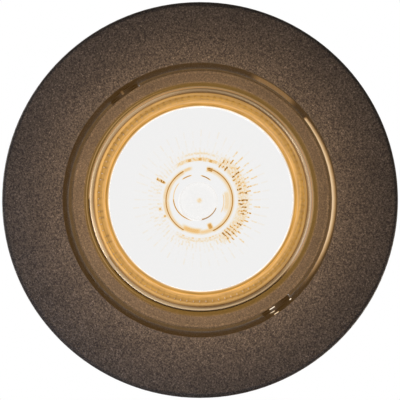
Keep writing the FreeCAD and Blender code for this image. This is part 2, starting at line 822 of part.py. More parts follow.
def holder_outline(sketch, inset):
    """A circle with two flats, as the holder and its cap are seen from behind."""
    radius = holder_radius - inset
    flat = size("holder_flat") - inset
    reach = side_of(radius, flat)
    outline(sketch, [(reach, -flat), (reach, flat), (-reach, flat), (-reach, -flat)],
            {0: (radius, True), 2: (radius, True)})


def keyhole_cutters(name, side):
    """One entry for a pin's head, its slot to the locked place and the chamber behind."""
    def mirrored(value):
        return value if side > 0 else -value
    entry = primitive("Cylinder", f"entry_{name}", Radius=keyhole_radius, Height=chamber_start - holder_start
                      + overrun * 2)
    move(entry, mirrored(entry_across), mirrored(-entry_along), holder_start - overrun)
    locked = primitive("Cylinder", f"locked_{name}", Radius=size("pin_radius") + keyhole_gap,
                       Height=chamber_start - holder_start + overrun * 2)
    move(locked, mirrored(size("pin_spacing") / 2), ZERO, holder_start - overrun)
    slot = primitive("Box", f"slot_{name}", Length=(size("pin_radius") + keyhole_gap) * 2,
                     Width=entry_along, Height=chamber_start - holder_start + overrun * 2)
    left = size("pin_spacing") / 2 - size("pin_radius") - keyhole_gap
    right = size("pin_spacing") / 2 + size("pin_radius") + keyhole_gap
    move(slot, left if side > 0 else -right, -entry_along if side > 0 else ZERO, holder_start - overrun)
    chamber = primitive("Box", f"chamber_{name}", Length=chamber_far - chamber_near,
                        Width=keyhole_radius * 2 + entry_along, Height=holder_end - chamber_start + overrun)
    move(chamber, chamber_near if side > 0 else -chamber_far,
         -(keyhole_radius + entry_along) if side > 0 else -keyhole_radius, chamber_start)
    return [entry, locked, slot, chamber]


def make_lampholder_body():
    """The ceramic holder: two keyholes for the pins, a chamber behind each, and two screw holes."""
    blank = new_body("holder_blank")
    sketch = new_sketch(blank, "holder_outline", "XY_Plane")
    holder_outline(sketch, ZERO)
    pad(blank, "holder", sketch, size("holder_height"), start=holder_start)
    dress(blank, "Chamfer", "holder_front_edge", lambda edge, middle: near(middle.z, holder_start),
          size("holder_edge"))
    screws = new_sketch(blank, "screw_holes_outline", "XY_Plane")
    for side in (-1, 1):
        circle_outline(screws, cap_screw_across * side, ZERO, size("cap_screw_radius"))
    depth = size("cap_screw_length") - size("cap_height") + running_gap
    cut(blank, "screw_holes", screws, depth, start=holder_end)
    cutters = keyhole_cutters("right", 1) + keyhole_cutters("left", -1)
    fused = combined("MultiFuse", "keyholes", cutters[0], cutters[1:])
    return seat_in_gimbal(combined("Cut", "lampholder_body", blank, [fused]))


def make_lampholder_contacts():
    """Two leaf contacts, one beside each pin's head, with a tail towards the cap."""
    leaves = []
    width = size("contact_width")
    thickness = size("contact_thickness")
    place = size("pin_spacing") / 2 + size("pin_head_radius") + size("contact_gap")
    for name, side in (("right", 1), ("left", -1)):
        leaf = primitive("Box", f"contact_leaf_{name}", Length=thickness, Width=width,
                         Height=size("contact_height"))
        move(leaf, place if side > 0 else -(place + thickness), -(width / 2), holder_end - size("contact_height"))
        foot = primitive("Box", f"contact_foot_{name}", Length=size("contact_foot"), Width=width,
                         Height=thickness)
        move(foot, place - size("contact_foot") if side > 0 else -place, -(width / 2), holder_end - thickness)
        leaves.append(combined("MultiFuse", f"contact_{name}", leaf, [foot]))
    both = document.addObject("Part::Compound", "lampholder_contacts")
    both.Links = leaves
    document.recompute()
    return seat_in_gimbal(both)


def make_lampholder_cap():
    """The cap behind the holder, with an entry hole for each lead and two screw holes."""
    body = new_body("lampholder_cap")
    sketch = new_sketch(body, "cap_outline", "XY_Plane")
    holder_outline(sketch, size("cap_inset"))
    pad(body, "cap", sketch, size("cap_height"), start=holder_end)
    top = holder_end + size("cap_height")
    dress(body, "Fillet", "cap_edge", lambda edge, middle: near(middle.z, top), size("holder_edge"))
    leads = new_sketch(body, "lead_entries_outline", "XY_Plane")
    screws = new_sketch(body, "screw_holes_outline", "XY_Plane")
    for side in (-1, 1):
        circle_outline(leads, size("lead_hole_spacing") / 2 * side, ZERO, size("lead_hole_radius"))
        circle_outline(screws, cap_screw_across * side, ZERO, size("cap_screw_radius"))
    cut(body, "lead_entries", leads)
    cut(body, "screw_holes", screws)
    return seat_in_gimbal(body)


def make_lampholder_screws():
    """The two screws that hold the cap on the holder."""
    screws = []
    top = holder_end + size("cap_height")
    for name, side in (("left", -1), ("right", 1)):
        across = cap_screw_across * side
        shank = primitive("Cylinder", f"cap_screw_shank_{name}", Radius=size("cap_screw_radius"),
                          Height=size("cap_screw_length"))
        move(shank, across, ZERO, top - size("cap_screw_length"))
        head = primitive("Cylinder", f"cap_screw_head_{name}", Radius=size("cap_screw_head"),
                         Height=size("cap_screw_head_height"))
        move(head, across, ZERO, top)
        screw = combined("MultiFuse", f"cap_screw_{name}", shank, [head])
        slot = primitive("Box", f"cap_screw_slot_{name}", Length=size("cap_screw_head") * 2,
                         Width=size("cap_screw_slot"), Height=size("cap_screw_head_height"))
        move(slot, across - size("cap_screw_head"), -(size("cap_screw_slot") / 2),
             top + size("cap_screw_head_height") / 2)
        screws.append(combined("Cut", f"slotted_screw_{name}", screw, [slot]))
    both = document.addObject("Part::Compound", "lampholder_screws")
    both.Links = screws
    document.recompute()
    return seat_in_gimbal(both)


def make_clip_bracket(name, turn):
    """The bent sheet-steel bracket that is riveted on an ear of the trim and holds the clip's pin."""
    body = new_body(name)
    sketch = new_sketch(body, "plate_outline", "XZ_Plane")
    foot = size("bracket_foot")
    outline(sketch, [
        (-bracket_half, foot), (bracket_half, foot), (bracket_half, ear_top), (notch_half, ear_top),
        (notch_half, notch_floor), (-notch_half, notch_floor), (-notch_half, ear_top), (-bracket_half, ear_top)])
    pad(body, "plate", sketch, bracket_sheet, start=-bracket_face)
    crown = size("lug_crown")
    slope = size("lug_slope")
    shelf = ear_top + size("lug_clear")
    for side, start in (("right", lug_inner), ("left", -bracket_half)):
        lug = new_sketch(body, f"lug_{side}_outline", "YZ_Plane")
        outline(lug, [
            (ear_face, size("lug_foot")), (bracket_face, size("lug_foot")),
            (lug_reach, size("lug_foot") + slope), (lug_reach, pin_height),
            (pin_place + crown, pin_height + crown), (pin_place - crown / 2, pin_height + crown),
            (pin_place - crown, pin_height + crown / 2), (pin_place - crown, shelf), (ear_face, shelf)])
        pad(body, f"lug_{side}", lug, bracket_sheet, start=start)
    holes = new_sketch(body, "lug_holes_outline", "YZ_Plane")
    circle_outline(holes, pin_place, pin_height, hinge_radius)
    circle_outline(holes, pin_place + spring_coil, pin_height - size("spring_leg"),
                   spring_wire / 2 + size("hook_gap"))
    cut(body, "lug_holes", holes)
    rivets = new_sketch(body, "rivet_holes_outline", "XZ_Plane")
    for height in (rivet_low, rivet_high):
        circle_outline(rivets, ZERO, height, rivet_radius)
    cut(body, "rivet_holes", rivets, bracket_sheet + overrun * 2, start=-(ear_face - overrun), flip=False)
    return move(body, turn=turn)


def make_clip_rivets(name, turn):
    """The two rivets that hold a bracket on its ear."""
    rivets = []
    head_end = bracket_face + size("rivet_head_height")
    for place, height in (("low", rivet_low), ("high", rivet_high)):
        body = new_body(f"{name}_{place}")
        turned(body, "rivet", [
            (ZERO, opening_radius), (rivet_radius, opening_radius), (rivet_radius, bracket_face),
            (rivet_head, bracket_face), (rivet_head, bracket_face + size("rivet_edge")),
            (rivet_radius, head_end), (ZERO, head_end)])
        move(body, up=height, turn=ALONG_Y)
        rivets.append(body)
    both = document.addObject("Part::Compound", name)
    both.Links = rivets
    document.recompute()
    return move(both, turn=turn)


def make_clip_pin(name, turn):
    """The clip's hinge pin, with a head at each end outside the bracket's lugs."""
    body = new_body(name)
    head_radius = size("hinge_head_radius")
    head_end = bracket_half + size("hinge_head_height")
    turned(body, "pin", [
        (ZERO, -head_end), (head_radius, -head_end), (head_radius, -bracket_half),
        (hinge_radius, -bracket_half), (hinge_radius, bracket_half), (head_radius, bracket_half),
        (head_radius, head_end), (ZERO, head_end)])
    seat = Placement(Vector(0, pin_place.number, pin_height.number), ALONG_X)
    body.Placement = Placement(Vector(), turn).multiply(seat)
    return body


def hinge_placement(turn):
    """Where a clip's blade hangs: at the pin, pointing down and outwards."""
    at_pin = Placement(Vector(0, pin_place.number, pin_height.number),
                       Rotation(Vector(-1, 0, 0), clip_rest.number))
    return Placement(Vector(), turn).multiply(at_pin)


def blade_outline(sketch, start, gap):
    """The blade's wide end from a bound place on, with round corners, grown by a gap."""
    half = blade_half + gap
    end = blade_length + gap
    corner = size("blade_corner")
    outline(sketch, [
        (-half, start), (half, start), (half, end - corner), (half - corner, end),
        (corner - half, end), (-half, end - corner)], {2: (corner, True), 4: (corner, True)})


def make_clip_blade(name, turn):
    """The steel blade that presses on the ceiling: an eye round the pin, a neck and a wide end with a bead."""
    body = new_body(name)
    flare = blade_neck + size("blade_flare")
    corner = size("blade_corner")
    sketch = new_sketch(body, "blade_outline", "XY_Plane")
    outline(sketch, [
        (-neck_half, ZERO), (neck_half, ZERO), (neck_half, blade_neck), (blade_half, flare),
        (blade_half, blade_length - corner), (blade_half - corner, blade_length),
        (corner - blade_half, blade_length), (-blade_half, blade_length - corner), (-blade_half, flare),
        (-neck_half, blade_neck)], {4: (corner, True), 6: (corner, True)})
    pad(body, "blade", sketch, blade_sheet, start=blade_low)
    eye = new_sketch(body, "eye_outline", "YZ_Plane")
    circle_outline(eye, ZERO, ZERO, eye_radius + blade_sheet)
    pad(body, "eye", eye, neck_half * 2, start=-neck_half)
    hole = new_sketch(body, "eye_hole_outline", "YZ_Plane")
    circle_outline(hole, ZERO, ZERO, eye_radius)
    cut(body, "eye_hole", hole)
    bead = new_sketch(body, "bead_outline", "XY_Plane")
    half = size("bead_half")
    bead_start = blade_neck + size("bead_setback")
    bead_end = tip_start - size("bead_end_gap")
    box_outline(bead, -half, half, bead_start, bead_end)
    pad(body, "bead", bead, size("bead_rise"), start=blade_high)
    hollow = new_sketch(body, "bead_hollow_outline", "XY_Plane")
    inner = half - size("bead_rise")
    box_outline(hollow, -inner, inner, bead_start + size("bead_rise"), bead_end - size("bead_rise"))
    cut(body, "bead_hollow", hollow, size("bead_rise"), start=blade_low, flip=True)
    body.Placement = hinge_placement(turn)
    return body


def make_clip_tip(name, turn):
    """The soft tip pushed over the blade's end, so that it doesn't mark the ceiling."""
    body = new_body(name)
    outer = new_sketch(body, "tip_outline", "XY_Plane")
    blade_outline(outer, tip_start, tip_wall)
    pad(body, "tip", outer, blade_sheet + tip_wall * 2, start=blade_low - tip_wall)
    dress(body, "Fillet", "tip_edges", lambda edge, middle: middle.y > tip_start.number + tolerance
          and (near(middle.z, blade_low - tip_wall) or near(middle.z, blade_high + tip_wall)),
          size("tip_round"))
    inner = new_sketch(body, "tip_pocket_outline", "XY_Plane")
    blade_outline(inner, tip_start - overrun, ZERO)
    cut(body, "tip_pocket", inner, blade_sheet, start=blade_low, flip=True)
    body.Placement = hinge_placement(turn)
    return body


def arc_from(start, direction, end):
    """The arc that leaves start along a direction and ends at a point."""
    chord = end - start
    along = Vector(chord).normalize()
    lean = direction - along * direction.dot(along)
    if lean.Length < tolerance:
        return Part.LineSegment(start, end).toShape()
    angle = direction.getAngle(chord)
    middle = (start + end) / 2 + lean.normalize() * (chord.Length / 2 * math.tan(angle / 2))
    return Part.Arc(start, middle, end).toShape()


def biarc(start, start_direction, end, end_direction):
    """Two arcs that leave start and reach end along the given directions."""
    chord = end - start
    total = start_direction + end_direction
    bend = 2 * (1 - start_direction.dot(end_direction))
    reach = (-chord.dot(total) + math.sqrt(chord.dot(total) ** 2 + bend * chord.dot(chord))) / bend
    middle = (start + start_direction * reach + end - end_direction * reach) / 2
    first = arc_from(start, start_direction, middle)
    last = arc_from(end, -end_direction, middle)
    return [first, last]


def make_clip_spring(name, turn):
    """A double torsion spring about the clip's pin: leg, coil, cross bar over the blade, coil and leg."""
    coil = spring_coil.number
    pitch = size("spring_pitch").number
    bend = size("spring_bend").number
    wire = spring_wire.number
    turns = coil_turns.number
    steps = round(turns * 4)
    outer_across = coil_outer.number

    def on_coil(share):
        angle = share * turns * math.tau
        place = Vector(outer_across - pitch * turns * share, coil * math.cos(angle), coil * math.sin(angle))
        lean = 0 if share in (0, 1) else pitch / math.tau
        return place, Vector(-lean, -coil * math.sin(angle), coil * math.cos(angle)).normalize()

    leg_low = -size("spring_leg").number
    hook_end = Vector(bracket_half.number, coil, leg_low)
    hook_start = Vector(outer_across + bend, coil, leg_low)
    leg_start = Vector(outer_across, coil, leg_low + bend)
    edges = [Part.LineSegment(hook_end, hook_start).toShape(),
             arc_from(hook_start, Vector(-1, 0, 0), leg_start),
             Part.LineSegment(leg_start, on_coil(0)[0]).toShape()]
    for step in range(steps):
        edges += biarc(*on_coil(step / steps), *on_coil((step + 1) / steps))
    leave, away = on_coil(1)
    bar_distance = math.sqrt(spring_bail.number**2 + bar_height.number**2 - coil**2)
    corner = leave + away * bar_distance
    bar_start = corner + Vector(-bend, 0, 0)
    edges.append(Part.LineSegment(leave, corner - away * bend).toShape())
    edges.append(arc_from(corner - away * bend, away, bar_start))
    edges.append(Part.LineSegment(bar_start, Vector(0, corner.y, corner.z)).toShape())
    half = Part.Wire(Part.__sortEdges__(edges))
    other = half.mirror(Vector(0, 0, 0), Vector(1, 0, 0))
    path = Part.Wire(Part.__sortEdges__(half.Edges + other.Edges))
    section = Part.Wire([Part.makeCircle(wire / 2, hook_end, Vector(-1, 0, 0))])
    shell = Part.BRepOffsetAPI.MakePipeShell(path)
    shell.add(section)
    shell.build()
    shell.makeSolid()
    tube = Part.Solid(shell.shape())
    points = path.discretize(Distance=wire / 2)
    apart = round(coil * math.pi / (wire / 2))
    nearest = min(one.distanceToPoint(other) for place, one in enumerate(points)
                  for other in points[place + apart:])
    print(f"{name}: {turns * 2:.2f} turns, length {path.Length:.1f}, least gap to itself {nearest - wire:.2f}")
    expected = math.pi * (wire / 2) ** 2 * path.Length
    if abs(tube.Volume - expected) > expected / 100:
        raise ValueError(f"{name} has a volume of {tube.Volume}, not {expected}")
    spring = document.addObject("Part::Feature", name)
    spring.Label = name
    spring.Shape = tube
    spring.Placement = Placement(Vector(), turn).multiply(
        Placement(Vector(0, pin_place.number, pin_height.number), Rotation()))
    return spring


def make_all():
    """Every sub-part of the light, one feature each."""
    made = [make_trim_ring(), make_gimbal_ring(), make_retaining_ring(), make_lamp_reflector(),
            make_lamp_cover_glass(), make_lamp_capsule(), *make_lamp_filament_and_leads(), make_lamp_cement(),
            make_lamp_base(), make_lamp_pins(), make_lampholder_body(), make_lampholder_contacts(),
            make_lampholder_cap(), make_lampholder_screws()]
    for side, turn in (("a", Rotation()), ("b", HALF_TURN)):
        made += [make_pivot_screw(f"pivot_screw_{side}", turn),
                 make_friction_washers(f"friction_washers_{side}", turn),
                 make_clip_bracket(f"clip_bracket_{side}", turn),
                 make_clip_rivets(f"clip_rivets_{side}", turn),
                 make_clip_pin(f"clip_pin_{side}", turn),
                 make_clip_spring(f"clip_spring_{side}", turn),
                 make_clip_blade(f"clip_blade_{side}", turn),
                 make_clip_tip(f"clip_tip_{side}", turn)]
    return made


parts = make_all()
document.recompute()
for thing in document.Objects:
    if "Invalid" in thing.State or "Error" in thing.State:
        raise ValueError(f"{thing.Label} is {thing.State}")
for thing in parts:
    if thing.Shape.isNull() or not thing.Shape.isValid():
        raise ValueError(f"{thing.Label} has no valid shape")
os.makedirs("parts", exist_ok=True)
for thing in parts:
    thing.Shape.exportStep(f"parts/{thing.Label}.step")
print(f"{len(parts)} sub-parts written")
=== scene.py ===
# %% [markdown]
# # A recessed spotlight, lit, seen from straight below
#
# The light hangs in a ceiling and shines down. A matt bronze-black trim surrounds a tilting ring of the
# same finish, and the ring holds a glass reflector lamp behind a wire. Behind the trim are a lampholder and
# two sprung clips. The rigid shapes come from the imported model. This script gives every surface its finish,
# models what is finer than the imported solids, and sets the light and the camera.

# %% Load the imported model
import json
import math

import bmesh
import bpy
from mathutils import Matrix, Vector


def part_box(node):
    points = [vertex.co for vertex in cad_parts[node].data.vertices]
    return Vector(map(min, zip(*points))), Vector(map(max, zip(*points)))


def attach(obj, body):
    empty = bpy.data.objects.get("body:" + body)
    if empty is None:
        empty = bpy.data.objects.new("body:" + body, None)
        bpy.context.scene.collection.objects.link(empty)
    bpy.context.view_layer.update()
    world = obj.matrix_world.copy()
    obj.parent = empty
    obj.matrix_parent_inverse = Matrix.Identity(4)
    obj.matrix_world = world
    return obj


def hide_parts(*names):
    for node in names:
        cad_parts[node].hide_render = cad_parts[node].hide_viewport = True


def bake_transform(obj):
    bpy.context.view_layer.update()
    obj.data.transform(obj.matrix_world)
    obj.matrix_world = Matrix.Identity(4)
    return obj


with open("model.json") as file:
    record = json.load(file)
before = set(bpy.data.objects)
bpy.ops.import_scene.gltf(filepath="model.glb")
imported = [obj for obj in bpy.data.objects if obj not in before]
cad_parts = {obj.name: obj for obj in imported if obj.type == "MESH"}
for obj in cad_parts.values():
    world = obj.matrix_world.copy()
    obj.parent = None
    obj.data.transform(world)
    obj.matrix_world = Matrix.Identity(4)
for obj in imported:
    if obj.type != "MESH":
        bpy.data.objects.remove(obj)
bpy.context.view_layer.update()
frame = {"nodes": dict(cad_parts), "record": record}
record = frame["record"]

# %% [markdown]
# ## Places that everything else follows
#
# Blender works in metres, and a maker thinks of such a light in millimetres, so lengths are written in
# millimetres and multiplied by `MM`. The tilting head hangs on the hinge that the record names, and rests a
# few degrees off straight.

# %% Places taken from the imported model
MM = 0.001
REST_TILT = 3.1

scene = bpy.context.scene
scene.view_settings.view_transform = "Standard"

joints = {joint["name"]: joint for joint in record["behaviour"]["joints"]}
hinge = Vector(joints["gimbal_tilt"]["pos_m"])
trim_low, trim_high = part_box("trim_ring")
flange_front = trim_low.z
trim_radius = trim_high.x
print(f"trim {trim_radius * 2 / MM:.1f} mm across, its front {-flange_front / MM:.1f} mm below the ceiling")

# %% [markdown]
# ## The camera
#
# The photograph was taken on the trim's axis, so its outline is a circle. Such a view has no up of its own,
# and the camera is turned about the axis until the hinge lies where the photograph shows it: the pivots are
# at the lower right and the upper left. A long lens at about a third of a metre gives the slight
# perspective in which the inner wall of the trim shows. The picture's right and up are kept as two vectors,
# because the fine marks on the lamp are placed by them too.

# %% Camera
PICTURE_SIDE = 400
PICTURE_TRIM_RADIUS = 198.6
PICTURE_HINGE_ANGLE = -54.5
CAMERA_DISTANCE = 340 * MM

picture_turn = math.radians(PICTURE_HINGE_ANGLE)
picture_right = Vector((math.cos(picture_turn), math.sin(picture_turn), 0))
picture_up = Vector((math.sin(picture_turn), -math.cos(picture_turn), 0))
picture_width = PICTURE_SIDE * trim_radius / PICTURE_TRIM_RADIUS

camera = bpy.data.objects.new("camera", bpy.data.cameras.new("camera"))
scene.collection.objects.link(camera)
scene.camera = camera
camera.data.lens = camera.data.sensor_width * CAMERA_DISTANCE / picture_width
camera.matrix_world = Matrix.Translation((0, 0, flange_front - CAMERA_DISTANCE)) @ Matrix(
    (picture_right, picture_up, Vector((0, 0, -1)))).transposed().to_4x4()
print(f"lens {camera.data.lens:.0f} mm, {picture_width / MM:.1f} mm across the picture")

# %% [markdown]
# ## Helpers for materials
#
# Every finish below is a node tree. One function adds a node, sets what its panel would show and links its
# inputs, so each line reads as one box of the node editor. Inputs are named, or stand in the panel's order
# where that is easy to read: a Map Range has its value, the range that it comes from and the range that it
# goes to, and a Mix has its factor and two colours. Colours are written as the hex values that a colour
# picker shows, and one function turns them into the linear values that a shader works in.

# %% Helpers: colours and nodes
def linear(hex_colour):
    """An sRGB hex colour as linear red, green and blue, and an alpha of one."""
    values = [int(hex_colour[place:place + 2], 16) / 255 for place in (1, 3, 5)]
    return (*[v / 12.92 if v <= 0.04045 else ((v + 0.055) / 1.055) ** 2.4 for v in values], 1.0)


WHITE = linear("#FFFFFF")


def find_socket(sockets, word):
    """A socket by its place, or by its name among those that the node's settings switch on."""
    if isinstance(word, int):
        return [socket for socket in sockets if socket.enabled][word]
    return next(socket for socket in sockets if socket.enabled and socket.name == word)


def connect(tree, value, target):
    """Links a node or a socket to an input, or sets the input's own value."""
    if isinstance(value, bpy.types.Node):
        value = find_socket(value.outputs, 0)
    if isinstance(value, bpy.types.NodeSocket):
        tree.links.new(value, target)
    else:
        target.default_value = value


def add(tree, kind, inputs=(), **settings):
    """Adds a node with its settings. Inputs come in order or by name, as values, nodes or sockets."""
    made = tree.nodes.new(f"ShaderNode{kind}")
    for word, value in settings.items():
        setattr(made, word, value)
    for place, value in (inputs.items() if isinstance(inputs, dict) else enumerate(inputs)):
        connect(tree, value, find_socket(made.inputs, place))
    return made


def set_shader(shader, **inputs):
    """Sets or links a shader's inputs, whose names are written with _ for a space."""
    for word, value in inputs.items():
        connect(shader.id_data, value, shader.inputs[word.replace("_", " ")])


def new_material(name, **inputs):
    """A material with a Principled BSDF, its node tree, and the shader itself."""
    made = bpy.data.materials.new(name)
    made.use_nodes = True
    shader = made.node_tree.nodes["Principled BSDF"]
    set_shader(shader, **inputs)
    return made, made.node_tree, shader


def set_stops(ramp_node, stops):
    """Fills a colour ramp with (place, hex colour) stops."""
    elements = ramp_node.color_ramp.elements
    while len(elements) < len(stops):
        elements.new(1.0)
    for element, (place, colour) in zip(elements, stops):
        element.position = place
        element.color = linear(colour)
    return ramp_node


def millimetres(tree):
    """Object coordinates in millimetres, so that a pattern's scale is one over its size in millimetres."""
    place = add(tree, "TexCoord")
    return add(tree, "VectorMath", [place.outputs["Object"], (1 / MM,) * 3], operation="MULTIPLY")


def put_on(material, *names):
    """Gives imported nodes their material."""
    for name in names:
        frame["nodes"][name].material_slots[0].material = material
    print(material.name, "on", ", ".join(names))


# %% [markdown]
# ## Where a mark sits on the lamp
#
# The lit lamp has fine marks that turn about its axis: facets, dashes of gold, rings on the rim. They are
# easiest to place by three numbers, as on a clock: how far from the axis in millimetres, at which angle in
# the picture, and how high along the axis. A Mapping node of the Texture kind undoes a move, a turn and a
# scale, so it carries Object coordinates to the lamp's own axis, with X to the picture's right and Y up.
# The result is kept as one node group, which every finish of the lamp uses.
#
# The rim's steps and the wire ring's painted highlight are a hair off that axis, so each has a group of its
# own.

# %% Node group: radius, picture angle and height about the lamp's axis
def axis_coordinates(name, tilt_degrees, origin, right_mm=0.0, up_mm=0.0):
    """A node group with the three numbers, about an axis through a place or a little beside it."""
    group = bpy.data.node_groups.new(name, "ShaderNodeTree")
    for word in ("radius", "angle", "height"):
        group.interface.new_socket(word, in_out="OUTPUT", socket_type="NodeSocketFloat")
    turn = Matrix.Rotation(-math.radians(tilt_degrees), 3, "X") @ Matrix.Rotation(picture_turn, 3, "Z")
    middle = origin + (picture_right * right_mm + picture_up * up_mm) * MM
    place = add(group, "TexCoord")
    move = {"Location": middle, "Rotation": turn.to_euler(), "Scale": (MM, -MM, MM)}
    local = add(group, "Mapping", {"Vector": place.outputs["Object"], **move}, vector_type="TEXTURE")
    parts = add(group, "SeparateXYZ", [local])
    flat = add(group, "CombineXYZ", [parts.outputs["X"], parts.outputs["Y"]])
    radius = add(group, "VectorMath", [flat], operation="LENGTH")
    turned = add(group, "Math", [parts.outputs["Y"], parts.outputs["X"]], operation="ARCTAN2")
    angle = add(group, "Math", [turned], operation="DEGREES")
    out = group.nodes.new("NodeGroupOutput")
    for value, word in ((radius, "radius"), (angle, "angle"), (parts.outputs["Z"], "height")):
        connect(group, value, out.inputs[word])
    return group


def about_axis(tree, group):
    """Adds the group to a tree and returns its three numbers."""
    made = tree.nodes.new("ShaderNodeGroup")
    made.node_tree = group
    return made.outputs["radius"], made.outputs["angle"], made.outputs["height"]


lamp_axis = axis_coordinates("lamp_axis", REST_TILT, hinge)
rim_axis = axis_coordinates("rim_axis", REST_TILT, hinge, right_mm=0.12, up_mm=0.15)
highlight_axis = axis_coordinates("highlight_axis", REST_TILT, hinge, right_mm=0.17, up_mm=0.26)
trim_axis = axis_coordinates("trim_axis", 0.0, Vector((0, 0, 0)))
to_lamp = Matrix.Translation(hinge) @ Matrix.Rotation(-math.radians(REST_TILT), 4, "X")


def heights_on_axis(name):
    """A piece's lowest and highest point along the lamp's axis, and its radius, in millimetres."""
    back = to_lamp.inverted()
    points = [back @ vertex.co for vertex in frame["nodes"][name].data.vertices]
    return (min(p.z for p in points) / MM, max(p.z for p in points) / MM,
            max(math.hypot(p.x, p.y) for p in points) / MM)


lamp_front, lamp_end, lamp_radius = heights_on_axis("lamp_reflector")
print(f"lamp radius {lamp_radius:.2f} mm, from {lamp_front:.2f} to {lamp_end:.2f} mm along its axis")

# %% [markdown]
# ## Masks
#
# A mask is a number from zero to one that says where a finish applies. Nearly every mask here is a window:
# a range of one coordinate with soft edges, made of two Map Range nodes. Two windows multiplied, such as
# one of radius and one of angle, make a patch or a short arc. A comb repeats a thin tooth at every few
# degrees.

# %% Mask helpers
def window(tree, value, low, high, soft):
    """One inside a range of values and zero outside, with soft edges."""
    smooth = {"interpolation_type": "SMOOTHSTEP"}
    rise = add(tree, "MapRange", [value, low - soft, low + soft], **smooth)
    fall = add(tree, "MapRange", [value, high - soft, high + soft, 1.0, 0.0], **smooth)
    return add(tree, "Math", [rise, fall], operation="MULTIPLY")


def times(tree, *values):
    """The product of several values."""
    product = values[0]
    for value in values[1:]:
        product = add(tree, "Math", [product, value], operation="MULTIPLY")
    return product


def largest(tree, *values):
    """The largest of several values."""
    top = values[0]
    for value in values[1:]:
        top = add(tree, "Math", [top, value], operation="MAXIMUM")
    return top


def patch(tree, across, along, low, high, start, end, soft=0.15, soft_along=2.0):
    """One from low to high of one coordinate and from start to end of another."""
    return times(tree, window(tree, across, low, high, soft), window(tree, along, start, end, soft_along))


def from_right(tree, angle):
    """How many degrees an angle is from the picture's right, either way round."""
    return add(tree, "Math", [angle], operation="ABSOLUTE")


def comb(tree, angle, pitch, half_width, soft, shift=0.0):
    """Thin radial teeth: one on every pitch of degrees and zero between."""
    shifted = add(tree, "Math", [angle, 360.0 + shift], operation="ADD")
    apart = add(tree, "Math", [shifted, pitch / 2], operation="PINGPONG")
    return add(tree, "MapRange", [apart, half_width - soft, half_width + soft, 1.0, 0.0])


# %% [markdown]
# ## Powder coat
#
# Both castings are powder coated in a matt bronze-black with a fine texture. The powder is sprayed on dry
# and baked, and a textured one shrinks into grains of a third of a millimetre. A noise for the grains
# drives the bump and a change of brown, and a cell pattern makes one grain in eight glossy, and paints it
# paler as a painted sparkle: these stand for the small sparks of light that tell this coat from plain
# paint. The tilting ring's coat has run smoother in the lamp's heat, so the height of the grain is an
# input. The function returns the colour as well, so that each casting can add what only it has.

# %% Powder coat
GRAIN = 0.34
CLOUD = 7.0
MIDDLE_GREY = 0.51


def powder_coat(name, relief):
    made, tree, shader = new_material(name, Specular_IOR_Level=0.12)
    place = millimetres(tree)
    grain = add(tree, "TexNoise", {"Vector": place, "Scale": 1 / GRAIN, "Detail": 3.0, "Roughness": 0.7})
    cloud = add(tree, "TexNoise", {"Vector": place, "Scale": 1 / CLOUD, "Detail": 2.0})
    spread = 0.15 / relief
    tone = add(tree, "MapRange", [grain, MIDDLE_GREY - spread, MIDDLE_GREY + spread])
    browns = set_stops(add(tree, "ValToRGB", [tone]), [
        (0.0, "#392F28"), (0.5, "#594B3E"), (1.0, "#7A6958")])
    uneven = add(tree, "MapRange", [cloud, 0.3, 0.7, 0.92, 1.08])
    cells = add(tree, "TexVoronoi", {"Vector": place, "Scale": 1 / GRAIN})
    chosen = add(tree, "MapRange", [cells.outputs["Color"], 0.68, 0.76])
    middle = add(tree, "MapRange", [cells.outputs["Distance"], 0.2, 0.5, 1.0, 0.0])
    fleck = times(tree, chosen, middle)
    # Painted sparkle: the glossy grains are painted paler
    painted_sparkle = add(tree, "MapRange", [fleck, 0.0, 1.0, 1.0, 1.0 + 0.8 * relief])
    toned = add(tree, "VectorMath", [browns, times(tree, uneven, painted_sparkle)], operation="MULTIPLY")
    set_shader(shader, Base_Color=toned, Roughness=add(tree, "MapRange", [fleck, 0.0, 1.0, 0.72, 0.26]),
               Normal=add(tree, "Bump", {"Strength": 0.7 * relief, "Distance": 0.10 * MM, "Height": grain}))
    return made, tree, shader, toned


# %% [markdown]
# ## Light in the gap
#
# A little of the lamp's light gets out behind the reflector and comes forward through the gap between the
# two rings. It makes the gap a warm dark brown, not black, and where the gap is widest it falls on the
# trim's inner wall as a bright crescent. This light reaches the wall after many bounces between two walls
# that are a millimetre apart, which would take a very long render, so both walls get it as a faint emission
# of their own: painted light. Windows of height and angle hold it to the walls that face the gap, and there
# the coat's colour is darkened as painted shade. The tilting ring's coat is painted warmer all over for the
# lamp's warm light on it, and its bevel, on which the lamp's golden light falls, is painted golden brown and
# given a faint glow. The bevel's inner edge gets a thin painted line of light on the left, and the groove
# gets a painted glow between the two ends of the wire ring.

# %% Coat on the trim and on the tilting ring
GAP_GLOW = 0.055
GAP_PAINTED_SHADE = "#7C7661"


def gap_light(tree, shader, gap, lit):
    """A faint warm glow where the gap's mask is one, and a bright one where light falls into it."""
    warmth = set_stops(add(tree, "ValToRGB", [lit]), [(0.0, "#FFBC6B"), (0.7, "#FFDAA8"), (1.0, "#FFF2DC")])
    strength = add(tree, "Math", [gap, GAP_GLOW, lit], operation="MULTIPLY_ADD")
    set_shader(shader, Emission_Color=warmth, Emission_Strength=strength)


